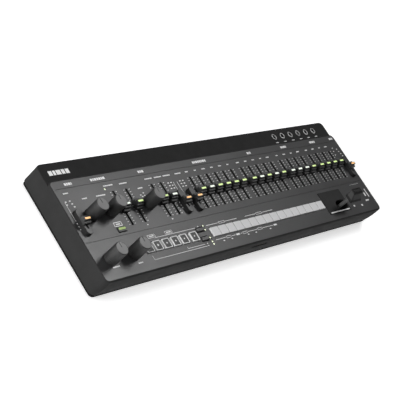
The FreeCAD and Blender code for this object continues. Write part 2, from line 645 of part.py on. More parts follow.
def make_joystick_housing():
    """Dark plate with the gate the stick moves in, and the box below that carries the pivots."""
    plate = box("joystick_plate", s("plate_centre_x"), s("plate_centre_y"), s("panel_top"),
                s("plate_width"), s("plate_depth"), s("plate_rise"))
    shell = box("joystick_box", s("joystick_x"), s("joystick_y"), s("board_top"), s("pot_box_width"),
                s("pot_box_depth"), "sizes.panel_top - sizes.board_top")
    cavity = box("joystick_cavity", s("joystick_x"), s("joystick_y"),
                 "sizes.board_top + sizes.pot_box_floor",
                 "sizes.pot_box_width - 2 * sizes.pot_box_wall",
                 "sizes.pot_box_depth - 2 * sizes.pot_box_wall",
                 "sizes.panel_top - sizes.board_top - sizes.pot_box_floor")
    straight = "sizes.gate_length - sizes.gate_width"
    gate_base, gate_height = "sizes.panel_top - 1", "sizes.plate_rise + 2"
    gate = [box("gate_middle", s("joystick_x"), s("joystick_y"), gate_base, straight, s("gate_width"),
                gate_height)]
    for end, side in (("left", -1), ("right", 1)):
        end_x = f"sizes.joystick_x + {side} * ({straight}) / 2"
        gate.append(rod(f"gate_end_{end}", end_x, s("joystick_y"), gate_base, "sizes.gate_width / 2",
                        gate_height))
    pivot_hole = lying_rod("pivot_hole", s("joystick_x"), s("joystick_y"), s("joystick_pivot"),
                           s("pin_hole_radius"), "sizes.pot_box_depth + 2", Vector(0, 1, 0))
    openings = fuse("joystick_openings", [cavity, *gate, pivot_hole])
    as_node(cut("joystick_housing", fuse("joystick_block", [plate, shell]), openings), "joystick_housing")


# --- moving pieces ---------------------------------------------------------------------------------

def stepped_cap(body, prefix, cap_width, base, levels):
    """A cap that rises in steps to a ridge; levels are half depths and heights from the foot up."""
    sketch = new_sketch(body, f"{prefix}_profile", "YZ_Plane", f"-({cap_width}) / 2")
    rising, height = [], base
    for half, top in levels:
        rising += [(half, height), (half, top)]
        height = top
    falling = [(f"-{half}", level) for half, level in reversed(rising)]
    add_outline(sketch, rising + falling)
    return pad(body, sketch, cap_width)


def add_stem(body, prefix, top, width, depth, reach):
    """A flat stem from the underside of a cap down into its housing."""
    sketch = new_sketch(body, f"{prefix}_stem", "XY_Plane", top)
    add_rectangle(sketch, "0", "0", width, depth)
    body.Tip = pad(body, sketch, f"({top}) + ({reach})", downward=True)


def make_faders():
    for index, x in enumerate(fader_places, start=1):
        name = f"fader_{index:02d}"
        body = new_body(name, x, s("fader_y"), s("panel_top"))
        stepped_cap(body, name, s("fader_cap_width"), s("fader_cap_gap"), (
            (s("fader_cap_half"), s("fader_low_step")),
            (s("fader_step_half"), s("fader_high_step")),
            (s("fader_ridge_half"), s("fader_cap_top")),
        ))
        add_stem(body, name, s("fader_low_step"), s("fader_stem_width"), s("fader_stem_depth"),
                 s("fader_stem_reach"))
        as_node(body, name)


def make_selectors():
    for index, x in enumerate(SELECTORS, start=1):
        name = f"selector_{index}"
        body = new_body(name, s(x), s("selector_y"), s("panel_top"))
        stepped_cap(body, name, s("selector_cap_width"), s("selector_cap_base"), (
            (s("selector_cap_half"), s("selector_cap_step")),
            (s("selector_ridge_half"), s("selector_cap_top")),
        ))
        add_stem(body, name, s("selector_cap_step"), s("fader_stem_width"), s("selector_stem_depth"),
                 s("fader_stem_reach"))
        as_node(body, name)


def make_knobs():
    for index, (x, y) in enumerate(KNOBS, start=1):
        name = f"knob_{index}"
        body = new_body(name, s(x), s(y), s("panel_top"))
        profile = new_sketch(body, f"{name}_profile", "XZ_Plane")
        add_outline(profile, (
            ("0", "-sizes.shaft_reach"), (s("shaft_radius"), "-sizes.shaft_reach"),
            (s("shaft_radius"), s("knob_gap")), (s("knob_radius"), s("knob_gap")),
            (s("knob_top_radius"), s("knob_rim_height")), (s("knob_disc_radius"), s("knob_height")),
            ("0", s("knob_height")),
        ))
        turned = body.newObject("PartDesign::Revolution", f"{name}_turned")
        turned.Profile = profile
        turned.ReferenceAxis = (profile, ["V_Axis"])
        turned.Angle = 360
        pointer = new_sketch(body, f"{name}_pointer", "XY_Plane", s("knob_height"))
        pointer_middle = "sizes.knob_disc_radius - sizes.pointer_length / 2 - 0.6"
        add_rectangle(pointer, "0", pointer_middle, s("pointer_width"), s("pointer_length"))
        body.Tip = pocket(body, pointer, s("pointer_depth"))
        as_node(body, name)


def make_button(name, caps, y, width, depth, rise, flange_length):
    """One press piece: its caps, the flange that keeps it under the panel, and a stem for each switch."""
    body = new_body(name, "0", y, s("panel_top"))
    flange = new_sketch(body, f"{name}_flange", "XY_Plane", s("flange_bottom"))
    middle = f"(({caps[0]}) + ({caps[-1]})) / 2"
    add_rectangle(flange, middle, "0", flange_length, f"{depth} + sizes.flange_margin")
    pad(body, flange, "sizes.flange_top - sizes.flange_bottom")
    tops = new_sketch(body, f"{name}_caps", "XY_Plane", s("flange_top"))
    stems = new_sketch(body, f"{name}_stems", "XY_Plane", s("flange_bottom"))
    for x in caps:
        add_rectangle(tops, x, "0", width, depth)
        add_circle(stems, x, "0", s("button_stem_radius"))
    pad(body, tops, f"{rise} - sizes.flange_top")
    body.Tip = pad(body, stems, "sizes.button_stem_reach + sizes.flange_bottom", downward=True)
    as_node(body, name)


def make_buttons():
    for index, x in enumerate(square_places, start=1):
        make_button(f"square_button_{index}", [x], s("square_y"), s("square_side"), s("square_side"),
                    s("square_rise"), s("square_side"))
    for index, button in enumerate(WIDE_BUTTONS, start=1):
        make_button(f"wide_button_{index}", [f"sizes.{button}_x"], f"sizes.{button}_y", s("wide_width"),
                    s("wide_depth"), s("wide_rise"), s("wide_width"))
    for bank in range(PAD_BANKS):
        caps = pad_places[bank * 4:bank * 4 + 4]
        make_button(f"pad_bank_{bank + 1}", caps, s("pad_y"), s("pad_width"), s("pad_depth"), s("pad_rise"),
                    "3 * sizes.pad_pitch + sizes.pad_width")


def make_joystick_gimbal():
    """Ring that rocks left and right on its front and back pins."""
    outer = box("ring_block", s("joystick_x"), s("joystick_y"),
                "sizes.joystick_pivot - sizes.ring_height / 2",
                s("ring_width"), s("ring_depth"), s("ring_height"))
    axle = lying_rod("ring_axle", s("joystick_x"), s("joystick_y"), s("joystick_pivot"), s("pin_radius"),
                     "sizes.pot_box_depth - 0.6", Vector(0, 1, 0))
    inner = box("ring_hole", s("joystick_x"), s("joystick_y"), "sizes.joystick_pivot - sizes.ring_height",
                s("ring_hole_width"), s("ring_hole_depth"), "2 * sizes.ring_height")
    side_holes = lying_rod("ring_side_holes", s("joystick_x"), s("joystick_y"), s("joystick_pivot"),
                           s("pin_hole_radius"), "sizes.ring_width + 2", Vector(1, 0, 0))
    openings = fuse("ring_openings", [inner, side_holes])
    as_node(cut("joystick_gimbal", fuse("ring_with_pins", [outer, axle]), openings), "joystick_gimbal")


def make_joystick_lever():
    """Stick with a wide tapered head that slopes in front; its cross pin rocks in the ring."""
    body = new_body("joystick_lever", s("joystick_x"), s("joystick_y"), s("joystick_pivot"))
    hub = new_sketch(body, "hub", "YZ_Plane", "-sizes.hub_half")
    add_circle(hub, "0", "0", s("hub_radius"))
    pad(body, hub, "2 * sizes.hub_half")
    cross_pin = new_sketch(body, "cross_pin", "YZ_Plane", "-sizes.ring_width / 2 + 0.2")
    add_circle(cross_pin, "0", "0", s("pin_radius"))
    pad(body, cross_pin, "sizes.ring_width - 0.4")
    neck = new_sketch(body, "neck", "XY_Plane")
    add_circle(neck, "0", "0", s("neck_radius"))
    rise_to_head = "(sizes.panel_top + sizes.head_base - sizes.joystick_pivot)"
    pad(body, neck, f"{rise_to_head} + 1")
    head_low = new_sketch(body, "head_low", "XY_Plane", rise_to_head)
    add_rectangle(head_low, "0", s("head_low_shift"), s("head_low_width"), s("head_low_depth"))
    head_top = new_sketch(body, "head_top", "XY_Plane", f"{rise_to_head} + sizes.head_height")
    add_rectangle(head_top, "0", s("head_top_shift"), s("head_top_width"), s("head_top_depth"))
    head = body.newObject("PartDesign::AdditiveLoft", "head")
    head.Profile = head_low
    head.Sections = [head_top]
    body.Tip = head
    as_node(body, "joystick_lever")


make_rubber_feet()
make_bottom_case()
make_top_case()
make_control_panel()
make_circuit_board()
make_fader_potentiometers()
make_selector_switches()
make_rotary_potentiometers()
make_jack_sockets()
make_usb_socket()
make_contact_connector()
make_case_screws()
make_joystick_housing()
make_faders()
make_selectors()
make_knobs()
make_buttons()
make_joystick_gimbal()
make_joystick_lever()
doc.recompute()

for item in doc.Objects:
    if "Invalid" in item.State or "Error" in item.State:
        raise RuntimeError(f"{item.Name} did not rebuild: {item.State}")
for node in nodes:
    if node.Shape.isNull() or not node.Shape.isValid():
        raise RuntimeError(f"{node.Label} has no sound shape")

os.makedirs("parts", exist_ok=True)
for node in nodes:
    node.Shape.exportStep(f"parts/{node.Label}.step")
    print(node.Label, len(node.Shape.Solids), round(node.Shape.Volume, 2))
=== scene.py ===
import math

import bmesh
import bpy
from mathutils import Matrix, Vector


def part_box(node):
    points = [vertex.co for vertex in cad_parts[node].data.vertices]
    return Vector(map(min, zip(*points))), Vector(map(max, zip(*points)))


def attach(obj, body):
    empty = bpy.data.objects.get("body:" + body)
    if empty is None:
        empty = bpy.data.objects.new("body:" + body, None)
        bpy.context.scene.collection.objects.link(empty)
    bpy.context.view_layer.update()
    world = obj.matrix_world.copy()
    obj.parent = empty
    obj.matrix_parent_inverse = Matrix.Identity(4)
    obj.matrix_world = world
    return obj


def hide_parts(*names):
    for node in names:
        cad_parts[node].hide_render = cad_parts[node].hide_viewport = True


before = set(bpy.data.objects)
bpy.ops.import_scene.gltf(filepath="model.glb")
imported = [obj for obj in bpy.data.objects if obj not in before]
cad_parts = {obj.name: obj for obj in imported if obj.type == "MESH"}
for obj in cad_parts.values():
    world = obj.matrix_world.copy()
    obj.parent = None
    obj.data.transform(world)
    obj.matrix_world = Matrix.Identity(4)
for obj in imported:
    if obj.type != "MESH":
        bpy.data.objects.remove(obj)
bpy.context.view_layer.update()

# Desktop fader synthesiser module. Lengths are in millimetres until a mesh becomes an object.
# Frame: X runs along the length, Y towards the back, Z up, with the origin on the table.

MM = 0.001

PANEL_THICKNESS = 1.6
PANEL_EDGE = 1.5
CASE_CORNER = 5.0
BAND_DROP = 0.75
GROOVES_Y = (31.5, -19.5)
SEAT_WIDTH = 7.0
SEAT_LENGTH = 24.0
SEAT_RISE = 3.5
SLOT_WIDTH = 2.2
SLOT_LENGTH = 34.0
PRINT_THICKNESS = 0.04
LAMPS = [(-69.3, y) for y in (-27.7, -31.8, -40.0, -44.1, -46.7)] + [(-158.4, 24.6)]


# --- places read from the frame ---

def box_of(node):
    """The lowest and highest corner of a node."""
    low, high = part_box(node)
    return low / MM, high / MM


def middle_of(node):
    """The middle of a node's box."""
    low, high = box_of(node)
    return (low + high) / 2


def numbered(prefix, count, digits=1):
    """Node names from 1 up to the count."""
    return [f"{prefix}_{number:0{digits}d}" for number in range(1, count + 1)]


FADERS = numbered("fader", 23, digits=2)
SELECTORS = numbered("selector", 4)
KNOBS = numbered("knob", 5)
SQUARE_BUTTONS = numbered("square_button", 6)
WIDE_BUTTONS = numbered("wide_button", 3)
PAD_BANKS = numbered("pad_bank", 4)

case_low, case_high = box_of("top_case")
panel_low, panel_high = box_of("control_panel")
panel_top = case_high.z + PANEL_THICKNESS
band_top = case_high.z - BAND_DROP


def panel_place(node):
    """The point on the panel's surface over the middle of a node."""
    return (*middle_of(node).xy, panel_top)


# --- mesh helpers ---

def rounded_rectangle(x, y, width, depth, radius, z, steps=6):
    """Points round a rectangle with round corners, anticlockwise from above."""
    points = []
    for side_x, side_y, start in ((1, 1, 0), (-1, 1, 90), (-1, -1, 180), (1, -1, 270)):
        centre_x = x + side_x * (width / 2 - radius)
        centre_y = y + side_y * (depth / 2 - radius)
        for step in range(steps + 1):
            angle = math.radians(start + 90 * step / steps)
            points.append(Vector((
                centre_x + radius * math.cos(angle),
                centre_y + radius * math.sin(angle),
                z,
            )))
    return points


def slot_outline(x, y, width, length, z):
    """A slot with round ends; its long way runs along the larger of the two sizes."""
    return rounded_rectangle(x, y, width, length, min(width, length) / 2 - 0.001, z)


def circle(x, y, radius, z, steps=48):
    """Points round a circle, anticlockwise from above."""
    return [
        Vector((
            x + radius * math.cos(2 * math.pi * step / steps),
            y + radius * math.sin(2 * math.pi * step / steps),
            z,
        ))
        for step in range(steps)
    ]


def skin(bm, loops, material=0, cap_first=True, cap_last=True):
    """Joins loops of equally many points with faces and returns their rings of vertices."""
    rings = [[bm.verts.new(point) for point in loop] for loop in loops]
    faces = []
    for low, high in zip(rings, rings[1:]):
        for index in range(len(low)):
            before = index - 1
            faces.append(bm.faces.new((low[before], low[index], high[index], high[before])))
    if cap_first:
        faces.append(bm.faces.new(rings[0][::-1]))
    if cap_last:
        faces.append(bm.faces.new(rings[-1]))
    for face in faces:
        face.material_index = material
    return rings


def fill_between(bm, rings):
    """Fills the flat surface between an outer ring and the rings of its holes."""
    edges = []
    for ring in rings:
        for index in range(len(ring)):
            pair = (ring[index - 1], ring[index])
            edges.append(bm.edges.get(pair) or bm.edges.new(pair))
    bmesh.ops.triangle_fill(bm, use_beauty=True, use_dissolve=False, edges=edges)


def edge_steps(radius, steps=4):
    """Inset and drop of the points along a rounded edge, from the wall to the top."""
    angles = [math.radians(90 * step / steps) for step in range(steps + 1)]
    return [(radius * (1 - math.cos(angle)), radius * (1 - math.sin(angle))) for angle in angles]


def rounded_block(bm, x, y, width, depth, corner, base, top, edge, material=0):
    """An upright block with round corners and a rounded top edge."""
    loops = [rounded_rectangle(x, y, width, depth, corner, base)]
    for inset, drop in edge_steps(edge):
        loops.append(rounded_rectangle(
            x, y, width - 2 * inset, depth - 2 * inset, max(corner - inset, 0.05), top - drop,
        ))
    return skin(bm, loops, material)


def turned(bm, profile, material=0, steps=48):
    """A turned shape from pairs of radius and height, closed at both ends."""
    return skin(bm, [circle(0, 0, radius, z, steps) for radius, z in profile], material)


def lying_rod(bm, radius, half_length):
    """A round bar along X, through the origin."""
    upright = turned(bm, ((radius, -half_length), (radius, half_length)), steps=24)
    vertices = [vertex for ring in upright for vertex in ring]
    bmesh.ops.transform(bm, matrix=Matrix.Rotation(math.pi / 2, 4, "Y"), verts=vertices)


def finish_mesh(name, bm, materials, sharp_degrees=35):
    """Scales a drawn mesh to metres, marks its sharp edges and makes it shade smoothly."""
    bmesh.ops.recalc_face_normals(bm, faces=bm.faces)
    bmesh.ops.scale(bm, vec=(MM, MM, MM), verts=bm.verts)
    limit = math.radians(sharp_degrees)
    for edge in bm.edges:
        edge.smooth = edge.calc_face_angle(0) < limit
    for face in bm.faces:
        face.smooth = True
    mesh = bpy.data.meshes.new(name)
    bm.to_mesh(mesh)
    bm.free()
    for material in materials:
        mesh.materials.append(material)
    return mesh


def add_piece(name, mesh, body, replaced=(), place=(0, 0, 0)):
    """Adds an object that rides on a body; place is in millimetres."""
    piece = bpy.data.objects.new(name, mesh)
    bpy.context.scene.collection.objects.link(piece)
    piece.location = Vector(place) * MM
    weighting = piece.modifiers.new("even_shading", "WEIGHTED_NORMAL")
    weighting.keep_sharp = True
    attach(piece, body)
    if replaced:
        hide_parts(*replaced)
    return piece


def cut_away(mesh, low, high):
    """Returns the mesh with a box-shaped opening taken out of it; corners in millimetres."""
    work = bpy.data.objects.new("work", mesh)
    cutter_bm = bmesh.new()
    centre, size = (low + high) / 2, high - low
    rounded_block(cutter_bm, centre.x, centre.y, size.x, size.y, 0.3, low.z, high.z, 0.2)
    cutter = bpy.data.objects.new("cutter", finish_mesh("cutter", cutter_bm, mesh.materials))
    for item in (work, cutter):
        bpy.context.scene.collection.objects.link(item)
    difference = work.modifiers.new("opening", "BOOLEAN")
    difference.operation = "DIFFERENCE"
    difference.object = cutter
    bpy.context.view_layer.update()
    evaluated = work.evaluated_get(bpy.context.evaluated_depsgraph_get())
    result = bpy.data.meshes.new_from_object(evaluated)
    for item in (work, cutter):
        bpy.data.objects.remove(item)
    return result


# --- materials ---

class Finish:
    """A procedural material: one Principled shader and the nodes that feed it."""

    def __init__(self, name, **settings):
        self.material = bpy.data.materials.new(name)
        self.material.use_nodes = True
        self.tree = self.material.node_tree
        self.shader = self.tree.nodes["Principled BSDF"]
        self.place = self.node("ShaderNodeTexCoord").outputs["Object"]
        for socket, value in settings.items():
            self.shader.inputs[socket.replace("_", " ")].default_value = value

    def node(self, kind, **inputs):
        made = self.tree.nodes.new(kind)
        for name, value in inputs.items():
            self.feed(made.inputs[name.replace("_", " ")], value)
        return made

    def feed(self, socket, value):
        """Links an output to a socket, or sets the socket to a plain value."""
        if isinstance(value, bpy.types.NodeSocket):
            self.tree.links.new(value, socket)
        else:
            socket.default_value = value

    def noise(self, grain_mm, detail=3.0):
        """Noise whose lumps are about grain_mm across."""
        scale = 1 / (grain_mm * MM)
        made = self.node("ShaderNodeTexNoise", Vector=self.place, Scale=scale, Detail=detail)
        return made.outputs["Fac"]

    def spread(self, factor, low, high, start=0.3, end=0.7):
        """Stretches a factor onto the range from low to high."""
        made = self.node(
            "ShaderNodeMapRange",
            Value=factor, From_Min=start, From_Max=end, To_Min=low, To_Max=high,
        )
        return made.outputs["Result"]

    def ramp(self, factor, dark, light):
        """A colour between the dark and the light one, picked by a factor."""
        made = self.node("ShaderNodeValToRGB", Fac=factor)
        for stop, position, colour in zip(made.color_ramp.elements, (0.25, 0.75), (dark, light)):
            stop.position = position
            stop.color = (*colour, 1)
        return made.outputs["Color"]

    def blend(self, factor, first, second):
        """The first colour where the factor is 0, the second where it is 1."""
        made = self.tree.nodes.new("ShaderNodeMix")
        made.data_type = "RGBA"
        self.feed(made.inputs["Factor"], factor)
        self.feed(made.inputs["A"], first)
        self.feed(made.inputs["B"], second)
        return made.outputs["Result"]

    def product(self, first, second):
        """Two factors multiplied."""
        made = self.tree.nodes.new("ShaderNodeMath")
        made.operation = "MULTIPLY"
        self.feed(made.inputs[0], first)
        self.feed(made.inputs[1], second)
        return made.outputs["Value"]

    def edges(self, width_mm):
        """High where the surface turns sharply outwards or inwards."""
        softened = self.node("ShaderNodeBevel", Radius=width_mm * MM)
        softened.samples = 4
        geometry = self.node("ShaderNodeNewGeometry")
        likeness = self.tree.nodes.new("ShaderNodeVectorMath")
        likeness.operation = "DOT_PRODUCT"
        self.feed(likeness.inputs[0], softened.outputs["Normal"])
        self.feed(likeness.inputs[1], geometry.outputs["Normal"])
        return self.spread(likeness.outputs["Value"], 1.0, 0.0, start=0.75, end=0.98)

    def colour(self, value):
        self.feed(self.shader.inputs["Base Color"], value)

    def roughness(self, value):
        self.feed(self.shader.inputs["Roughness"], value)

    def bump(self, height, depth_mm, strength=0.5):
        """Fine relief in the surface, driven by a factor."""
        made = self.node("ShaderNodeBump", Strength=strength, Distance=depth_mm * MM, Height=height)
        self.feed(self.shader.inputs["Normal"], made.outputs["Normal"])


def grey(value):
    """An even grey."""
    return (value, value, value)


def cool_grey(value, blue):
    """A grey whose blue is a little stronger."""
    return (value, value, value * blue)


def moulded(name, dark, light, gloss, grain_mm, grain_depth, wear_and_highlight=0.3, **settings):
    """Textured moulded plastic with uneven tone, fine grain and paler edges, which stand partly for
    rubbing and partly for a painted highlight along the edges.
    """
    finish = Finish(name, **settings)
    clouds = finish.noise(18.0)
    fine = finish.noise(grain_mm, detail=2.0)
    cloudy = finish.ramp(clouds, dark, light)
    mottled = finish.blend(finish.spread(fine, 0.0, 0.35), cloudy, (*light, 1))
    # Edges are made paler: partly rubbing, partly a painted highlight along the edges.
    paler_edges = finish.product(finish.edges(0.35), finish.spread(finish.noise(4.0), 0.0, wear_and_highlight))
    worn_and_highlit = tuple(min(1.0, channel * 2.2 + 0.02) for channel in light)
    finish.colour(finish.blend(paler_edges, mottled, (*worn_and_highlit, 1)))
    finish.roughness(finish.spread(finish.noise(9.0), gloss - 0.05, gloss + 0.06))
    finish.bump(fine, grain_depth)
    return finish.material


def panel_paint():
    """Satin dark grey paint: fine speckle, faint handling marks and slightly rubbed edges."""
    finish = Finish("panel_paint", IOR=1.5)
    speckle = finish.noise(0.35, detail=2.0)
    base = finish.ramp(finish.noise(45.0), cool_grey(0.025, 1.03), cool_grey(0.031, 1.03))
    speckled = finish.blend(finish.spread(speckle, 0.0, 0.4), base, (*grey(0.040), 1))
    paler_edges = finish.product(finish.edges(0.4), finish.spread(finish.noise(5.0), 0.0, 0.25))
    finish.colour(finish.blend(paler_edges, speckled, (*grey(0.10), 1)))
    finish.roughness(finish.spread(finish.noise(28.0), 0.34, 0.40))
    finish.bump(speckle, 0.03, strength=0.35)
    return finish.material


def rubber():
    """Dull rubber with fine pores."""
    finish = Finish("foot_rubber", IOR=1.5)
    pores = finish.noise(0.5, detail=4.0)
    finish.colour(finish.ramp(finish.noise(3.0), grey(0.018), grey(0.035)))
    finish.roughness(finish.spread(pores, 0.75, 0.92))
    finish.bump(pores, 0.08)
    return finish.material


def metal(name, dark, light, gloss):
    """Plated metal with fine rubbing marks and duller patches."""
    finish = Finish(name, Metallic=1.0)
    patches = finish.noise(2.5)
    scratches = finish.noise(0.25, detail=5.0)
    finish.colour(finish.ramp(patches, dark, light))
    finish.roughness(finish.spread(scratches, gloss - 0.08, gloss + 0.12))
    finish.bump(scratches, 0.01, strength=0.3)
    return finish.material


def board_green():
    """Solder mask over copper tracks."""
    finish = Finish("board_green", IOR=1.5)
    tracks = finish.node(
        "ShaderNodeTexBrick", Vector=finish.place, Scale=1 / (6 * MM), Mortar_Size=0.06,
    )
    lines = tracks.outputs["Fac"]
    mask = finish.ramp(finish.noise(7.0), (0.005, 0.055, 0.022), (0.008, 0.075, 0.03))
    finish.colour(finish.blend(lines, mask, (0.02, 0.14, 0.05, 1)))
    finish.roughness(finish.spread(finish.noise(1.0), 0.25, 0.4))
    finish.bump(lines, 0.03)
    return finish.material


def lit(name, dim, bright, strength):
    """A light guide that glows, a little brighter in places."""
    finish = Finish(name, Emission_Strength=strength, IOR=1.49)
    glow = finish.ramp(finish.noise(1.6), dim, bright)
    finish.colour(glow)
    finish.feed(finish.shader.inputs["Emission Color"], glow)
    finish.roughness(finish.spread(finish.noise(0.6), 0.3, 0.45))
    finish.bump(finish.noise(0.4), 0.01, strength=0.2)
    return finish.material


def print_ink():
    """White screen print with slightly uneven cover."""
    finish = Finish("print_white")
    cover = finish.noise(0.3, detail=4.0)
    finish.colour(finish.ramp(cover, grey(0.74), grey(0.88)))
    finish.roughness(finish.spread(cover, 0.45, 0.6))
    finish.bump(cover, 0.01, strength=0.3)
    return finish.material


# grain of moulded plastic: width and depth in millimetres
COARSE_GRAIN = (0.5, 0.04)
DEEP_GRAIN = (0.6, 0.05)
KNOB_GRAIN = (0.35, 0.03)
PLATE_GRAIN = (0.4, 0.02)
FINE_GRAIN = (0.3, 0.02)
DISC_GRAIN = (0.3, 0.015)
SWITCH_GRAIN = (0.5, 0.03)

# The case's paler edges are made stronger, so that they paint the highlight along its top edges.
case_plastic = moulded(
    "case_plastic", grey(0.012), grey(0.016), 0.88, *COARSE_GRAIN,
    wear_and_highlight=0.35, IOR=1.5, Specular_IOR_Level=0.28,
)
base_black = moulded(
    "base_black", grey(0.004), grey(0.006), 0.9, *DEEP_GRAIN, wear_and_highlight=0.0, Specular_IOR_Level=0.1,
)
panel_grey = panel_paint()
cap_black = moulded("cap_black", grey(0.011), grey(0.017), 0.42, *FINE_GRAIN, IOR=1.5)
cap_grey = moulded("cap_grey", grey(0.05), grey(0.07), 0.5, *FINE_GRAIN, wear_and_highlight=0.2, IOR=1.5)
knob_black = moulded("knob_black", grey(0.016), grey(0.022), 0.5, *KNOB_GRAIN, IOR=1.5)
knob_disc = moulded("knob_disc_grey", grey(0.082), grey(0.098), 0.4, *DISC_GRAIN, wear_and_highlight=0.2, IOR=1.5)
button_black = moulded("button_black", grey(0.026), grey(0.034), 0.5, *FINE_GRAIN, IOR=1.5)
button_rim = moulded("button_rim", grey(0.74), grey(0.82), 0.5, *FINE_GRAIN, wear_and_highlight=0.2, IOR=1.5)
pad_rubber = moulded(
    "pad_grey", cool_grey(0.62, 1.01), cool_grey(0.68, 1.01), 0.6, *PLATE_GRAIN, wear_and_highlight=0.1,
)
# Black finish: the stick plate's own colour, and painted shade on the walls of the panel's openings
# and the sides of its raised seats.
plate_black = moulded(
    "plate_black", grey(0.007), grey(0.010), 0.6, *PLATE_GRAIN, Specular_IOR_Level=0.25,
)
stick_black = moulded(
    "stick_black", grey(0.005), grey(0.008), 0.6, *FINE_GRAIN, Specular_IOR_Level=0.2,
)
neck_grey = moulded("neck_grey", grey(0.07), grey(0.09), 0.5, *FINE_GRAIN, IOR=1.5)
# Paler finish of the stick head's middle band and top ridges: a painted highlight that stands for
# the lit middle of the head, with strongly paled edges as painted glints.
stick_painted_highlight = moulded(
    "stick_painted_highlight", grey(0.006), grey(0.014), 0.5, *FINE_GRAIN, wear_and_highlight=0.6, Specular_IOR_Level=0.3,
)
switch_black = moulded("switch_black", grey(0.012), grey(0.018), 0.5, *SWITCH_GRAIN, IOR=1.5)
jack_black = moulded("jack_black", grey(0.010), grey(0.015), 0.4, *FINE_GRAIN, IOR=1.5)
contact_black = moulded("contact_black", grey(0.008), grey(0.012), 0.5, *PLATE_GRAIN, IOR=1.5)
foot_rubber = rubber()
steel = metal("screw_steel", grey(0.38), grey(0.52), 0.35)
pot_steel = metal("pot_steel", grey(0.45), grey(0.58), 0.4)
socket_steel = metal("socket_steel", grey(0.50), grey(0.64), 0.3)
ring_steel = metal("ring_steel", grey(0.40), grey(0.50), 0.55)
gold = metal("contact_gold", (0.14, 0.09, 0.04), (0.22, 0.15, 0.07), 0.5)
green_board = board_green()
white_print = print_ink()
lit_green = lit("line_green", (0.52, 0.72, 0.22), (0.70, 0.85, 0.38), 0.55)
lit_white = lit("line_white", (0.66, 0.72, 0.62), (0.85, 0.90, 0.82), 0.6)
lit_amber = lit("line_amber", (0.82, 0.36, 0.12), (0.95, 0.62, 0.26), 0.6)
lit_button = lit("button_green", (0.22, 0.34, 0.07), (0.32, 0.45, 0.11), 0.2)
lit_lamp = lit("lamp_lit", (0.75, 0.80, 0.55), (0.90, 0.95, 0.75), 0.9)


# --- case ---

BULGE_RADIUS = 80.0
BULGE_HEIGHT = 20.0
FOOT_EDGE = 0.3
BAND_EDGE = 0.7
WINDOW_MIDDLE_Y = -5.0
WINDOW_LENGTH = 418.0
CASE_WINDOW_DEPTH = 86.0
SEAT_WINDOW_DEPTH = 84.0
CONTACT_SLIT_HEIGHT = 2.6
FOOT_RADIUS = 6.0
JACK_COUNT = 6
JACK_BODY = 9.0
JACK_HOLE_RADIUS = 3.15
JACK_HOLE_DEPTH = 13.0

case_length = case_high.x - case_low.x
jack_low, jack_high = box_of("jack_sockets")
jack_y = (jack_low.y + jack_high.y) / 2
jack_pitch = (jack_high.x - jack_low.x - JACK_BODY) / (JACK_COUNT - 1)
jack_places = [jack_low.x + JACK_BODY / 2 + jack_pitch * step for step in range(JACK_COUNT)]


def front_of_case(height):
    """How far forward the swelling front reaches at a height."""
    reach = math.sqrt(BULGE_RADIUS ** 2 - (height - BULGE_HEIGHT) ** 2)
    return case_low.y + BULGE_RADIUS - reach


def case_outline(height, inset=0.0, back=case_high.y):
    """The case seen from above at a height, drawn in all round by the inset."""
    front = front_of_case(height) + inset
    depth = back - inset - front
    return rounded_rectangle(
        0, front + depth / 2, case_length - 2 * inset, depth, CASE_CORNER - inset, height,
    )


def window_outlines(depth, heights):
    """The opening under the panel at several heights."""
    return [
        rounded_rectangle(0, WINDOW_MIDDLE_Y, WINDOW_LENGTH, depth, 2, height) for height in heights
    ]


def make_case():
    """Moulded shell with a slightly swelling front, a lowered band at the back and its openings."""
    bm = bmesh.new()
    foot, shoulder, levels = case_low.z + FOOT_EDGE, band_top - BAND_EDGE, 14
    outer = [case_outline(case_low.z, inset=FOOT_EDGE)]
    for level in range(levels + 1):
        outer.append(case_outline(foot + (shoulder - foot) * level / levels))
    for inset, drop in edge_steps(BAND_EDGE)[1:]:
        outer.append(case_outline(band_top - drop, inset=inset))
    walls = skin(bm, outer, cap_first=False, cap_last=False)
    window = window_outlines(CASE_WINDOW_DEPTH, (band_top, case_low.z))
    inner = skin(bm, window, cap_first=False, cap_last=False)
    fill_between(bm, [walls[0], inner[-1]])
    openings = [inner[0]]
    hole_heights = (band_top, band_top - JACK_HOLE_DEPTH)
    for x in jack_places:
        hole = [circle(x, jack_y, JACK_HOLE_RADIUS, height) for height in hole_heights]
        openings.append(skin(bm, hole, cap_first=False)[0])
    fill_between(bm, [walls[-1], *openings])
    mesh = finish_mesh("top_case", bm, [case_plastic])
    margin = Vector((0.2, 2, 0.2))
    usb_low, usb_high = box_of("usb_socket")
    mesh = cut_away(mesh, usb_low - margin, usb_high + margin)
    contact_low, contact_high = box_of("contact_connector")
    contact_low.z = contact_high.z - CONTACT_SLIT_HEIGHT
    mesh = cut_away(mesh, contact_low - margin, contact_high + margin)
    add_piece("case_shell", mesh, "case", ["top_case"])


def make_panel_seat():
    """The raised part of the case that carries the control panel."""
    bm = bmesh.new()
    base, top = band_top - BAND_DROP, case_high.z
    loops = [
        case_outline(height, inset=0.01, back=panel_high.y) for height in (base, band_top, top)
    ]
    walls = skin(bm, loops, cap_first=False, cap_last=False)
    window = window_outlines(SEAT_WINDOW_DEPTH, (base, top))
    inner = skin(bm, window, cap_first=False, cap_last=False)
    fill_between(bm, [walls[0], inner[0]])
    fill_between(bm, [walls[-1], inner[1]])
    add_piece("panel_seat", finish_mesh("panel_seat", bm, [case_plastic]), "case")


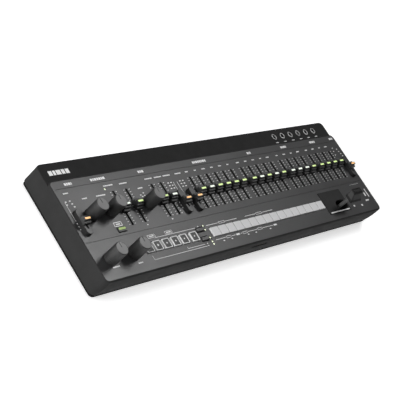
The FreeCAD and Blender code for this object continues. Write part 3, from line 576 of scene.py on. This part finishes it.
def make_feet():
    """Four round rubber feet with soft edges and a shallow hollow below."""
    low, high = box_of("rubber_feet")
    left, right = low.x + FOOT_RADIUS, high.x - FOOT_RADIUS
    front, back = low.y + FOOT_RADIUS, high.y - FOOT_RADIUS
    places = ((left, front), (right, front), (right, back), (left, back))
    for number, (x, y) in enumerate(places, start=1):
        bm = bmesh.new()
        turned(bm, (
            (FOOT_RADIUS, high.z), (FOOT_RADIUS, 0.5), (FOOT_RADIUS - 0.15, 0.15),
            (FOOT_RADIUS - 0.5, 0), (FOOT_RADIUS - 1.4, 0), (FOOT_RADIUS - 1.8, 0.35), (0.6, 0.45),
        ))
        mesh = finish_mesh(f"foot_{number}", bm, [foot_rubber])
        add_piece(f"foot_{number}", mesh, "case", ["rubber_feet"], (x, y, 0))


# --- control panel ---

EDGE_BREAK = 0.15
END_ROUNDING = 0.4  # how far the plate's edge draws in at the ends, as a share of that in front
KNOB_HOLE_RADIUS = 3.5
LAMP_HOLE_RADIUS = 1.0
SQUARE_HOLE = (10.0, 10.0)
WIDE_HOLE = (10.8, 5.0)
PAD_ROW_GAP = 0.4
PAD_ROW_DEPTH = 9.85
STICK_HOLE = (22.6, 13.6)
GUIDE_OFFSET = 2.9
GUIDE_LENGTH = 8.6


def through_hole(bm, outline, bottoms):
    """An opening with a broken edge; outline(grow, z) draws it. Its walls and broken edge take the
    black finish, painted shade inside the opening. Returns the ring at the surface.
    """
    rings = skin(bm, [
        outline(EDGE_BREAK, panel_top), outline(0, panel_top - EDGE_BREAK), outline(0, case_high.z),
    ], material=1, cap_first=False, cap_last=False)
    bottoms.append(rings[-1])
    return rings[0]


def seat_outline(x, y, grow, z):
    """A raised seat seen from above, grown all round."""
    return slot_outline(x, y, SEAT_WIDTH + 2 * grow, SEAT_LENGTH + 2 * grow, z)


def raised_seat(bm, x, y, bottoms):
    """A raised seat with a rounded top edge and the slot its switch runs in; its walls are black,
    painted shade on its sides.
    """
    top = panel_top + SEAT_RISE
    loops = [seat_outline(x, y, 0.3, panel_top), seat_outline(x, y, 0, panel_top + 0.3)]
    loops += [seat_outline(x, y, -inset, top - drop) for inset, drop in edge_steps(0.4)]
    walls = skin(bm, loops, material=1, cap_first=False, cap_last=False)
    guide = skin(bm, [
        slot_outline(x, y - GUIDE_OFFSET, SLOT_WIDTH, GUIDE_LENGTH, height)
        for height in (top, case_high.z)
    ], cap_first=False, cap_last=False)
    fill_between(bm, [walls[-1], guide[0]])
    bottoms.append(guide[-1])
    return walls[0]


def scored_line(bm, y):
    """A shallow groove along the panel."""
    loops = [
        rounded_rectangle(0, y, case_length - 3.2, width, 0.1, panel_top - depth, steps=1)
        for width, depth in ((0.6, 0), (0.5, 0.1), (0.45, 0.4))
    ]
    return skin(bm, loops, cap_first=False)[0]


def panel_openings(bm, bottoms):
    """Every opening of the panel, as rings at its surface."""
    rings = [scored_line(bm, y) for y in GROOVES_Y]
    for node in FADERS:
        x, y = middle_of(node).xy
        rings.append(through_hole(
            bm,
            lambda grow, z: slot_outline(x, y, SLOT_WIDTH + 2 * grow, SLOT_LENGTH + 2 * grow, z),
            bottoms,
        ))
    for node in SELECTORS:
        rings.append(raised_seat(bm, *middle_of(node).xy, bottoms))
    round_holes = [(*middle_of(node).xy, KNOB_HOLE_RADIUS) for node in KNOBS]
    round_holes += [(*place, LAMP_HOLE_RADIUS) for place in LAMPS]
    for x, y, radius in round_holes:
        rings.append(through_hole(
            bm, lambda grow, z: circle(x, y, radius + grow, z, steps=32), bottoms,
        ))
    for x, y, width, depth in rectangular_openings():
        rings.append(through_hole(
            bm,
            lambda grow, z: rounded_rectangle(
                x, y, width + 2 * grow, depth + 2 * grow, 1.0 + grow, z,
            ),
            bottoms,
        ))
    return rings


def rectangular_openings():
    """Middle and size of each opening for the buttons, the row of pads and the stick."""
    openings = [(*middle_of(node).xy, *SQUARE_HOLE) for node in SQUARE_BUTTONS]
    openings += [(*middle_of(node).xy, *WIDE_HOLE) for node in WIDE_BUTTONS]
    first, last = box_of(PAD_BANKS[0])[0], box_of(PAD_BANKS[-1])[1]
    row_length = last.x - first.x + 2 * PAD_ROW_GAP
    row_middle = ((first.x + last.x) / 2, middle_of(PAD_BANKS[0]).y)
    openings.append((*row_middle, row_length, PAD_ROW_DEPTH))
    openings.append((*middle_of("joystick_gimbal").xy, *STICK_HOLE))
    return openings


def make_panel():
    """Painted face plate with dark rounded edges, scored lines, openings and raised seats."""
    bm = bmesh.new()
    depth = panel_high.y - panel_low.y
    middle_y = (panel_high.y + panel_low.y) / 2
    loops = [rounded_rectangle(0, middle_y, case_length, depth, CASE_CORNER, case_high.z, steps=8)]
    for inset, drop in edge_steps(PANEL_EDGE, steps=6):
        loops.append(rounded_rectangle(
            0, middle_y, case_length - 2 * END_ROUNDING * inset, depth - 2 * inset,
            CASE_CORNER - inset, panel_top - drop, steps=8,
        ))
    rim = skin(bm, loops, material=2, cap_first=False, cap_last=False)
    bottoms = [rim[0]]
    fill_between(bm, [rim[-1], *panel_openings(bm, bottoms)])
    fill_between(bm, bottoms)
    # The black finish paints shade on the walls of the openings and the sides of the seats.
    finishes = [panel_grey, plate_black, case_plastic]
    mesh = finish_mesh("control_panel", bm, finishes, sharp_degrees=50)
    add_piece("face_plate", mesh, "case", ["control_panel"])


# --- faders and selectors ---

WHITE_LIT_FADERS = [FADERS[number - 1] for number in (1, 4, 6, 12, 14, 16, 17, 18)]
CAP_WIDTH = 8.0
LIT_LINE_WIDTH = 5.8
STEM_FOOT = -10.5


def stepped_cap(bm, width, foot, levels, edge=0.3):
    """A cap that rises in steps to a ridge; levels are half depths and heights from the foot up."""
    loops = []
    low = foot
    for half, top in levels:
        loops.append(rounded_rectangle(0, 0, width, 2 * half, 0.3, low))
        for inset, drop in edge_steps(edge, steps=3):
            length = width - inset * 0.6
            loops.append(rounded_rectangle(0, 0, length, 2 * (half - inset), 0.3, top - drop))
        low = top
    return skin(bm, loops)


def add_stem(bm, width, depth, low, high):
    """The flat stem that carries a cap through its slot."""
    skin(bm, [rounded_rectangle(0, 0, width, depth, 0.2, height) for height in (low, high)])


def fader_mesh():
    """Stepped slider cap with thin ribs on its steps, and the stem below it."""
    bm = bmesh.new()
    stepped_cap(bm, CAP_WIDTH, 0.4, ((5.0, 3.1), (3.2, 5.3), (1.6, 7.1)))
    for side in (-1, 1):
        for y, top in ((4.1, 3.4), (2.4, 5.55)):
            rounded_block(bm, 0, side * y, 7.2, 0.7, 0.2, top - 0.8, top, 0.2, material=1)
    add_stem(bm, 1.2, 3.2, STEM_FOOT, 1.0)
    return finish_mesh("fader_cap", bm, [cap_black, cap_grey])


def line_mesh(name, depth, top, material):
    """Light guide let into the ridge of a cap."""
    bm = bmesh.new()
    rounded_block(bm, 0, 0, LIT_LINE_WIDTH, depth, 0.3, top - 0.8, top, 0.2)
    return finish_mesh(name, bm, [material])


def make_faders():
    """Slider caps with green or white lit lines."""
    cap = fader_mesh()
    green = line_mesh("fader_line_green", 1.7, 7.3, lit_green)
    white = line_mesh("fader_line_white", 1.7, 7.3, lit_white)
    for node in FADERS:
        place = panel_place(node)
        add_piece(f"{node}_cap", cap, node, [node], place)
        line = white if node in WHITE_LIT_FADERS else green
        add_piece(f"{node}_line", line, node, place=place)


def selector_mesh():
    """Short switch cap with a stepped front and the stem below it."""
    bm = bmesh.new()
    stepped_cap(bm, CAP_WIDTH, 3.9, ((3.5, 6.3), (1.5, 8.3)))
    for side in (-1, 1):
        rounded_block(bm, 0, side * 2.5, 7.0, 0.9, 0.2, 5.8, 6.7, 0.2, material=1)
    add_stem(bm, 1.2, 2.0, STEM_FOOT, 4.5)
    return finish_mesh("selector_cap", bm, [cap_black, cap_grey])


def make_selectors():
    """Switch caps with amber lit lines."""
    cap = selector_mesh()
    line = line_mesh("selector_line", 1.6, 8.5, lit_amber)
    for node in SELECTORS:
        place = panel_place(node)
        add_piece(f"{node}_cap", cap, node, [node], place)
        add_piece(f"{node}_line", line, node, place=place)


# --- knobs ---

def knob_mesh():
    """Slightly tapered knob with a line round its foot, rounded edges, and its shaft."""
    bm = bmesh.new()
    turned(bm, (
        (3.0, -10.6), (3.0, 0.5), (6.0, 0.5), (6.25, 0.6), (6.35, 0.9), (6.35, 4.0), (6.2, 4.15),
        (6.2, 4.35), (6.32, 4.5), (6.22, 15.9), (6.18, 16.4), (6.04, 16.75), (5.85, 16.9),
        (5.7, 16.75), (5.6, 16.7),
    ), steps=72)
    return finish_mesh("knob_body", bm, [knob_black])


def disc_mesh():
    """Pale top disc with a slot that shows the dark knob beneath as a pointer."""
    bm = bmesh.new()
    rims = skin(bm, [
        circle(0, 0, 5.62, 16.5, steps=64), circle(0, 0, 5.62, 16.9, steps=64),
        circle(0, 0, 5.52, 17.0, steps=64),
    ], cap_first=False, cap_last=False)
    pointer = skin(bm, [
        slot_outline(0, 3.0, 0.9, 4.6, height) for height in (16.5, 17.0)
    ], cap_first=False, cap_last=False)
    fill_between(bm, [rims[-1], pointer[1]])
    fill_between(bm, [rims[0], pointer[0]])
    return finish_mesh("knob_disc", bm, [knob_disc])


def make_knobs():
    """Dark knobs, each with its pale disc."""
    body, disc = knob_mesh(), disc_mesh()
    for node in KNOBS:
        place = panel_place(node)
        add_piece(f"{node}_body", body, node, [node], place)
        add_piece(f"{node}_disc", disc, node, place=place)


# --- buttons and pads ---

FLANGE_TOP = -2.2
WIDE_BUTTON_TOP = 1.2
PAD_WIDTH = 10.8
PAD_DEPTH = 9.05


def add_press_foot(bm, width, depth):
    """The flange that keeps a button under the panel, and the stem that works its switch."""
    rounded_block(bm, 0, 0, width, depth + 1.9, 0.5, -3.4, FLANGE_TOP, 0.1)
    turned(bm, ((1.7, -8.7), (1.7, -3.4)), steps=24)


def square_button_mesh(name, sign, sign_material):
    """Pale rimmed button with a dark sunken top and a small sign of the given size on it."""
    bm = bmesh.new()
    side, rise = 9.2, 1.3
    rim = [rounded_rectangle(0, 0, side, side, 0.9, FLANGE_TOP)]
    for inset, drop in ((0, 0.3), (0.06, 0.08), (0.2, 0), (0.65, 0), (0.75, 0.12), (0.8, 0.4)):
        inner = side - 2 * inset
        rim.append(rounded_rectangle(0, 0, inner, inner, 0.9 - 0.4 * inset, rise - drop))
    skin(bm, rim, material=1)
    rounded_block(bm, 0, 0, side - 1.7, side - 1.7, 0.4, rise - 0.5, rise - 0.25, 0.1)
    rounded_block(bm, 0, 0.2, sign, sign, 0.4 * sign, rise - 0.4, rise - 0.2, 0.05, material=2)
    add_press_foot(bm, side, side)
    return finish_mesh(name, bm, [button_black, button_rim, sign_material])


def wide_button_mesh(name, top_material, body_top, shrink):
    """Low oblong button: a dark body and a crowned top that is shrink smaller than it."""
    bm = bmesh.new()
    rounded_block(bm, 0, 0, 10.0, 4.2, 0.8, FLANGE_TOP, body_top, 0.15)
    width, depth = 9.6 - shrink, 3.8 - shrink
    loops = [rounded_rectangle(0, shrink / 3, width, depth, 0.7, body_top - 0.3)]
    for inset, drop in edge_steps(WIDE_BUTTON_TOP - body_top, steps=5):
        loops.append(rounded_rectangle(
            0, shrink / 3, width - 2 * inset, depth - 2 * inset, 0.75 - inset,
            WIDE_BUTTON_TOP - drop,
        ))
    skin(bm, loops, material=1)
    add_press_foot(bm, 10.0, 4.2)
    return finish_mesh(name, bm, [cap_black, top_material])


def pad_mesh():
    """Step pad with soft edges, its flange and its stem."""
    bm = bmesh.new()
    rounded_block(bm, 0, 0, PAD_WIDTH, PAD_DEPTH, 0.7, FLANGE_TOP, 1.2, 0.45)
    add_press_foot(bm, PAD_WIDTH, PAD_DEPTH)
    return finish_mesh("step_pad", bm, [pad_rubber])


def make_buttons():
    """Six square buttons, the second one marked, and three wide ones, the first one lit."""
    marked = square_button_mesh("square_button_marked", 2.0, white_print)
    faint = square_button_mesh("square_button_faint", 1.4, button_rim)
    for node in SQUARE_BUTTONS:
        mesh = marked if node == SQUARE_BUTTONS[1] else faint
        add_piece(f"{node}_cap", mesh, node, [node], panel_place(node))
    green = wide_button_mesh("wide_button_green", lit_button, 0.9, 1.6)
    plain = wide_button_mesh("wide_button_plain", panel_grey, 0.5, 0)
    for node in WIDE_BUTTONS:
        mesh, slot = (green, "button_green") if node == WIDE_BUTTONS[0] else (plain, "panel_paint")
        add_piece(f"{node}_cap", mesh, node, [node], panel_place(node))


def make_pads():
    """Four pads in each bank."""
    mesh = pad_mesh()
    for node in PAD_BANKS:
        low, high = box_of(node)
        pitch = (high.x - low.x - PAD_WIDTH) / 3
        for step in range(4):
            place = (low.x + PAD_WIDTH / 2 + step * pitch, (low.y + high.y) / 2, panel_top)
            add_piece(f"{node}_pad_{step + 1}", mesh, node, [node], place)


def make_lamps():
    """Small domed lamps let into the panel."""
    bm = bmesh.new()
    turned(bm, ((0.9, -1.5), (0.9, -0.6), (0.75, -0.2), (0.5, 0.05), (0.2, 0.12)), steps=24)
    mesh = finish_mesh("lamp", bm, [lit_lamp])
    for number, (x, y) in enumerate(LAMPS, start=1):
        add_piece(f"lamp_{number}", mesh, "case", place=(x, y, panel_top))


# --- joystick ---

GATE_LENGTH = 18.4
GATE_DEPTH = 10.0
PIVOT_BOX = (22.0, 13.0)
NECK_RADIUS = 2.0
HEAD_HEIGHT = 9.6
HEAD_FOOT = (21.0, 10.4, -2.8)  # width, depth and how far back its middle is
HEAD_TOP = (15.0, 5.6, 0.8)


def make_joystick_plate():
    """Black plate with the gate and a white line, and the well below it."""
    low, high = box_of("joystick_housing")
    pivot = middle_of("joystick_gimbal")
    bm = bmesh.new()
    middle, size = (low + high) / 2, high - low
    walls = skin(bm, [
        rounded_rectangle(middle.x, middle.y, size.x - 2 * inset, size.y - 2 * inset, 1.0, height)
        for inset, height in ((0, panel_top), (0, high.z - 0.2), (0.2, high.z))
    ], cap_first=False, cap_last=False)
    gate = skin(bm, [
        slot_outline(pivot.x, pivot.y, GATE_LENGTH + 2 * grow, GATE_DEPTH + 2 * grow, height)
        for grow, height in ((0.3, high.z), (0, high.z - 0.3), (0, low.z + 1.2))
    ], cap_first=False)
    fill_between(bm, [walls[-1], gate[0]])
    box_walls = skin(bm, [
        rounded_rectangle(pivot.x, pivot.y, *PIVOT_BOX, 0.5, height)
        for height in (low.z, panel_top)
    ], cap_last=False)
    fill_between(bm, [walls[0], box_walls[-1]])
    rounded_block(
        bm, middle.x, low.y + 1.5, size.x - 4.4, 1.3, 0.3, high.z - 0.1, high.z + 0.06, 0.03,
        material=1,
    )
    mesh = finish_mesh("joystick_plate", bm, [plate_black, white_print])
    add_piece("joystick_plate", mesh, "case", ["joystick_housing"])


def make_joystick_stick():
    """Wide tapered stick head that slopes in front and is hollowed on top, on a plain neck."""
    pivot = middle_of("joystick_gimbal")
    top = box_of("joystick_lever")[1].z - pivot.z
    foot = top - HEAD_HEIGHT
    bm = bmesh.new()
    turned(bm, (
        (NECK_RADIUS - 0.5, -1.8), (NECK_RADIUS, -0.8), (NECK_RADIUS, foot + 0.2),
    ), material=1, steps=40)

    def section(rise, inset):
        """The head's outline at a height above its foot, drawn in by the inset."""
        share = rise / HEAD_HEIGHT
        width, depth, centre_y = (
            below + (above - below) * share for below, above in zip(HEAD_FOOT, HEAD_TOP)
        )
        return rounded_rectangle(
            0, centre_y, width - 2 * inset, depth - 2 * inset, 1.0 - 0.6 * inset, foot + rise,
            steps=4,
        )

    low_rim = ((0, 0.9), (0.3, 0.3), (1.0, 0), (2.2, 0), (2.5, 0.3))
    waist = ((2.5, 0.3), (2.7, 0.4), (7.6, 0.4), (7.8, 0.3))
    top_rim = ((7.8, 0.3), (8.0, 0), (8.8, 0), (9.4, 0.3), (9.6, 0.9), (9.2, 1.2))
    # The middle band takes the paler finish, so the head shows dark rims round a painted highlight.
    for material, steps in ((0, low_rim), (2, waist), (0, top_rim)):
        walls = [section(rise, inset) for rise, inset in steps]
        skin(bm, walls, material, cap_first=steps is low_rim, cap_last=steps is top_rim)
    bmesh.ops.remove_doubles(bm, verts=bm.verts, dist=0.0001)
    # The top ridges are in the paler finish too: painted highlight lines.
    for x in (-5.0, -2.5, 0, 2.5, 5.0):
        rounded_block(bm, x, 0.8, 0.8, 3.0, 0.2, top - 0.6, top - 0.1, 0.15, material=2)
    lying_rod(bm, 2.2, 3.8)
    lying_rod(bm, 1.0, 5.8)
    mesh = finish_mesh("joystick_stick", bm, [stick_black, neck_grey, stick_painted_highlight])
    add_piece("joystick_stick", mesh, "joystick_lever", ["joystick_lever"], pivot)


# --- sockets ---

def jack_mesh():
    """Small socket: a black flange with a bright ring in it and a deep bore."""
    bm = bmesh.new()
    turned(bm, (
        (3.0, -12.0), (3.0, 0), (2.4, 0.02), (2.4, 0.25), (2.1, 0.3), (1.8, 0.1), (1.8, -11.5),
    ))
    for material, profile in (
        (0, ((3.9, 0), (3.9, 0.2), (3.75, 0.35), (3.3, 0.35), (3.3, 0))),
        (1, ((3.3, 0), (3.3, 0.42), (3.15, 0.5), (2.6, 0.5), (2.5, 0.35), (2.5, 0))),
    ):
        rings = [circle(0, 0, radius, height) for radius, height in profile]
        skin(bm, rings + rings[:1], material=material, cap_first=False, cap_last=False)
    bmesh.ops.remove_doubles(bm, verts=bm.verts, dist=0.0001)
    return finish_mesh("jack", bm, [jack_black, ring_steel])


def make_jacks():
    """One socket in each hole of the back band."""
    mesh = jack_mesh()
    for number, x in enumerate(jack_places, start=1):
        place = (x, jack_y, band_top)
        add_piece(f"jack_{number}", mesh, "case", ["jack_sockets"], place)


def make_contact_pins():
    """Row of gold contacts on the face of the connector."""
    low, high = box_of("contact_connector")
    bm = bmesh.new()
    count = 10
    foot = high.z - CONTACT_SLIT_HEIGHT
    for index in range(count):
        x = low.x + (high.x - low.x) * (index + 0.5) / count
        rounded_block(bm, x, low.y + 0.25, 0.7, 0.6, 0.2, foot, foot + 0.9, 0.15)
    add_piece("contact_pins", finish_mesh("contact_pins", bm, [gold]), "case")


# --- print ---

class Print:
    """Thin white marks on a flat surface: dashes, dots, lines and outlines, no lettering."""

    def __init__(self, height):
        self.bm = bmesh.new()
        self.height = height

    def line(self, start, end, width):
        """A straight bar between two points."""
        first, last = Vector(start), Vector(end)
        along = (last - first).normalized()
        across = Vector((-along.y, along.x)) * width / 2
        corners = (first - across, last - across, last + across, first + across)
        skin(self.bm, [
            [Vector((*corner, height)) for corner in corners]
            for height in (self.height, self.height + PRINT_THICKNESS)
        ])

    def dash(self, x, y, width, height):
        self.line((x - width / 2, y), (x + width / 2, y), height)

    def dashes(self, start, end, y, height):
        """A row of short unequal dashes that stands for a caption."""
        x, step = start, 0
        while x < end - 0.4:
            width = min((1.5, 1.0, 1.9, 1.3)[step % 4] * height / 1.6, end - x)
            self.dash(x + width / 2, y, width, height)
            x += width + 0.22 * height
            step += 1

    def path(self, *points, width=0.4):
        """Bars from point to point."""
        for start, end in zip(points, points[1:]):
            self.line(start, end, width)

    def outline(self, left, right, front, back, width=0.35):
        """An open rectangle."""
        corners = ((left, front), (right, front), (right, back), (left, back))
        self.path(*corners, corners[0], width=width)

    def finish(self, name):
        mesh = finish_mesh(name, self.bm, [white_print])
        add_piece(name, mesh, "case")


def print_captions(ink):
    """Section titles along the back of the panel and the captions of its controls."""
    for start, end in (
        (-199.8, -191.0), (-168.9, -151.1), (-108.7, -101.3), (-32.2, -11.9),
        (53.7, 59.8), (112.0, 121.7), (165.9, 176.2), (204.1, 210.9),
    ):
        ink.dashes(start, end, 35.0, 2.3)
    for start, end, y in (
        (-206.7, -201.0, 26.9), (-158.6, -147.0, 27.4), (-139.0, -129.3, 26.9),
        (-105.8, -96.0, 26.9), (-189.8, -184.1, 19.5), (-172.8, -162.0, 19.5),
        (-120.5, -114.2, 19.5), (-93.1, -83.3, 26.9), (-81.0, -71.3, 26.9),
        (-64.3, -56.1, 26.9), (-200.0, -192.1, -44.7), (-170.4, -164.9, -46.5),
    ):
        ink.dashes(start, end, y, 1.1)
    for index, node in enumerate(FADERS[4:]):
        x = middle_of(node).x
        half = (2.1, 1.4, 2.6, 1.8)[index % 4]
        ink.dashes(x - half, x + half, 26.9, 1.1)


def print_scales(ink):
    """Two rows of ticks beside each fader slot."""
    count, pitch = 13, 2.65
    for middle in map(middle_of, FADERS):
        for tick in range(count):
            y = middle.y + (tick - (count - 1) / 2) * pitch
            for side in (-1, 1):
                ink.dash(middle.x + side * 3.4, y, 1.3, 0.55)


def print_selector_marks(ink):
    """Position dots beside the switches, and the small signs behind the end ones."""
    for middle, side in zip(map(middle_of, SELECTORS), (-1, -1, -1, 1)):
        for y in (-1.2, -4.1, -6.8):
            ink.dash(middle.x + side * 4.9, y, 0.9, 0.8)
    for x, y in (
        (-204.1, 19.6), (-203.2, 16.7), (-202.4, 13.8), (-208.8, 19.3), (-209.1, 16.6),
        (199.4, 23.7), (198.1, 19.7), (197.0, 15.2), (205.8, 21.6), (207.1, 18.6), (208.3, 15.7),
        (208.9, 12.8), (-121.7, 12.9), (-120.4, 11.2), (-117.2, 14.4), (-117.3, 11.8),
        (-134.4, -15.2), (-101.3, -15.0),
    ):
        ink.dash(x, y, 1.7, 0.9)
    for row in range(3):
        for x in (-79.6, -75.6, -63.2, -59.0):
            ink.dash(x, 19.2 - 2.9 * row, 2.0, 0.9)
    for x, front in ((-72.6, 9.4), (-67.6, 6.3)):
        ink.line((x, 19.2), (x, front), 0.35)
    ink.line((-210.0, 18.8), (-210.0, 0.9), 0.3)


def print_button_signs(ink):
    """Signs and brackets round the square buttons and the small wide ones."""
    ink.outline(-172.0, -163.0, -10.7, -7.2, width=0.7)
    ink.dash(-167.5, -9.0, 5.0, 1.2)
    ink.outline(-143.3, -134.0, -27.5, -24.8)
    ink.dash(-138.6, -26.1, 6.0, 0.9)
    ink.outline(-120.7, -111.5, -27.3, -24.7)
    ink.dash(-116.1, -26.0, 6.0, 0.9)
    ink.line((-134.9, -28.2), (-81.1, -28.2), 0.4)
    ink.path((-150.5, -43.3), (-150.5, -47.1), (-79.2, -47.1))
    ink.path((-104.3, -43.3), (-104.3, -45.0), (-80.7, -45.0))
    for x, y in ((-76.5, -27.4), (-77.3, -44.8), (-77.4, -47.0)):
        ink.dash(x, y, 1.2, 0.8)


def print_pad_brackets(ink):
    """Broken brackets behind and in front of the step pads, each round a small sign."""
    for start, end in ((-65.5, -20.0), (-7.0, 37.5)):
        middle = (start + end) / 2
        ink.line((start, -28.4), (middle - 5.5, -28.4), 0.45)
        ink.line((middle + 5.5, -28.4), (end, -28.4), 0.45)
        ink.outline(middle - 4.5, middle + 4.5, -29.2, -27.6)
    for start, end in ((-64.0, -50.0), (-40.5, -35.0), (-27.0, -24.5), (-15.5, -1.5), (7.5, 24.0)):
        ink.line((start, -43.6), (end, -43.6), 0.45)
    for x in (-45.2, -20.0, 3.0):
        ink.outline(x - 3.4, x + 3.4, -44.5, -42.7)
    for x in (-31.0, 28.0):
        ink.dash(x, -43.6, 5.0, 1.6)
    for x in (-54.0, -42.0, -17.0, -5.0, 18.0):
        ink.dash(x, -46.2, 2.2, 0.9)


def print_joystick_signs(ink):
    """Bars and dashes in front of the stick and at its right."""
    ink.line((185.7, -22.0), (203.3, -22.0), 0.2)
    ink.line((207.2, -29.6), (207.2, -39.4), 1.5)
    ink.line((202.2, -33.7), (202.2, -38.0), 2.2)
    ink.dash(200.0, -42.8, 6.0, 1.6)
    for x, y in ((170.8, -45.4), (185.3, -46.6)):
        ink.dash(x, y, 2.6, 1.8)


def make_print():
    """The marks on the panel and those on the back band."""
    ink = Print(panel_top)
    print_captions(ink)
    print_scales(ink)
    print_selector_marks(ink)
    print_button_signs(ink)
    print_pad_brackets(ink)
    print_joystick_signs(ink)
    ink.finish("panel_print")
    band = Print(band_top)
    for x in jack_places:
        band.dashes(x - 2.2, x + 2.2, 42.3, 0.8)
    band.dashes(-206.5, -182.0, 48.3, 4.4)
    band.finish("band_print")


# --- pieces that keep their shape ---

CARRIED_OVER = {
    "bottom_case": base_black,
    "case_screws": steel,
    "circuit_board": green_board,
    "fader_potentiometers": pot_steel,
    "selector_switches": switch_black,
    "rotary_potentiometers": pot_steel,
    "usb_socket": socket_steel,
    "contact_connector": contact_black,
    "joystick_gimbal": switch_black,
}


def repaint_carried_over():
    """Gives the nodes that are shown as they are their own finishes."""
    for node, material in CARRIED_OVER.items():
        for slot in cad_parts[node].material_slots:
            slot.material = material


make_case()
make_panel_seat()
make_feet()
make_panel()
make_faders()
make_selectors()
make_knobs()
make_buttons()
make_pads()
make_lamps()
make_joystick_plate()
make_joystick_stick()
make_jacks()
make_contact_pins()
make_print()
repaint_carried_over()


# --- floor, light and camera ---

CAMERA_PLACE = Vector((-0.9122, -0.2892, 0.6401))
CAMERA_TARGET = Vector((-0.0154, 0.0093, 0))
CAMERA_ROLL = 47.32
CAMERA_LENS = 111.4
FLOOR_SIZE = 8000.0
FLOOR_GLOW = 0.6
ROOM_LIGHT = 0.05


def make_floor():
    """Large pale floor with a faint glow of its own, so that it stays white."""
    finish = Finish("floor_white", Emission_Strength=FLOOR_GLOW)
    tone = finish.ramp(finish.noise(300.0), grey(0.86), grey(0.9))
    finish.colour(tone)
    finish.feed(finish.shader.inputs["Emission Color"], tone)
    finish.roughness(finish.spread(finish.noise(50.0), 0.8, 0.9))
    bm = bmesh.new()
    skin(bm, [rounded_rectangle(0, 0, FLOOR_SIZE, FLOOR_SIZE, 500, height) for height in (-20, 0)])
    floor = bpy.data.objects.new("floor", finish_mesh("floor", bm, [finish.material]))
    bpy.context.scene.collection.objects.link(floor)


def add_softbox(name, place, width, height, watts):
    """A large rectangular area light aimed at the origin; its place and size are in metres."""
    lamp = bpy.data.lights.new(name, "AREA")
    lamp.shape = "RECTANGLE"
    lamp.size = width
    lamp.size_y = height
    lamp.energy = watts
    light = bpy.data.objects.new(name, lamp)
    bpy.context.scene.collection.objects.link(light)
    light.location = place
    light.rotation_euler = (-Vector(place)).to_track_quat("-Z", "Y").to_euler()


def make_light():
    """One softbox high behind the right end, a wide one above and a low one at the left end."""
    add_softbox("softbox_back", (0.84, 0.30, 1.25), 0.5, 0.5, 9)
    add_softbox("softbox_above", (-0.5, -0.2, 1.6), 1.4, 1.4, 6.5)
    add_softbox("softbox_left", (-1.2, 0.1, 0.35), 0.8, 0.6, 15)


def make_world():
    """Dim room light on the object, white where the camera sees past the floor."""
    world = bpy.data.worlds.new("studio")
    world.use_nodes = True
    nodes, links = world.node_tree.nodes, world.node_tree.links
    room = nodes["Background"]
    room.inputs["Color"].default_value = (1, 1, 1, 1)
    room.inputs["Strength"].default_value = ROOM_LIGHT
    backdrop = nodes.new("ShaderNodeBackground")
    backdrop.inputs["Color"].default_value = (1, 1, 1, 1)
    seen = nodes.new("ShaderNodeLightPath")
    choice = nodes.new("ShaderNodeMixShader")
    links.new(seen.outputs["Is Camera Ray"], choice.inputs[0])
    links.new(room.outputs["Background"], choice.inputs[1])
    links.new(backdrop.outputs["Background"], choice.inputs[2])
    links.new(choice.outputs["Shader"], nodes["World Output"].inputs["Surface"])
    bpy.context.scene.world = world


def make_camera():
    """Long lens, high at the left end of the module, with the camera rolled over."""
    lens = bpy.data.cameras.new("camera")
    lens.lens = CAMERA_LENS
    lens.sensor_width = 36.0
    camera = bpy.data.objects.new("camera", lens)
    bpy.context.scene.collection.objects.link(camera)
    aim = (CAMERA_TARGET - CAMERA_PLACE).to_track_quat("-Z", "Y").to_matrix().to_4x4()
    roll = Matrix.Rotation(math.radians(CAMERA_ROLL), 4, "Z")
    camera.matrix_world = Matrix.Translation(CAMERA_PLACE) @ aim @ roll
    bpy.context.scene.camera = camera


make_floor()
make_light()
make_world()
make_camera()
bpy.context.scene.view_settings.view_transform = "Standard"
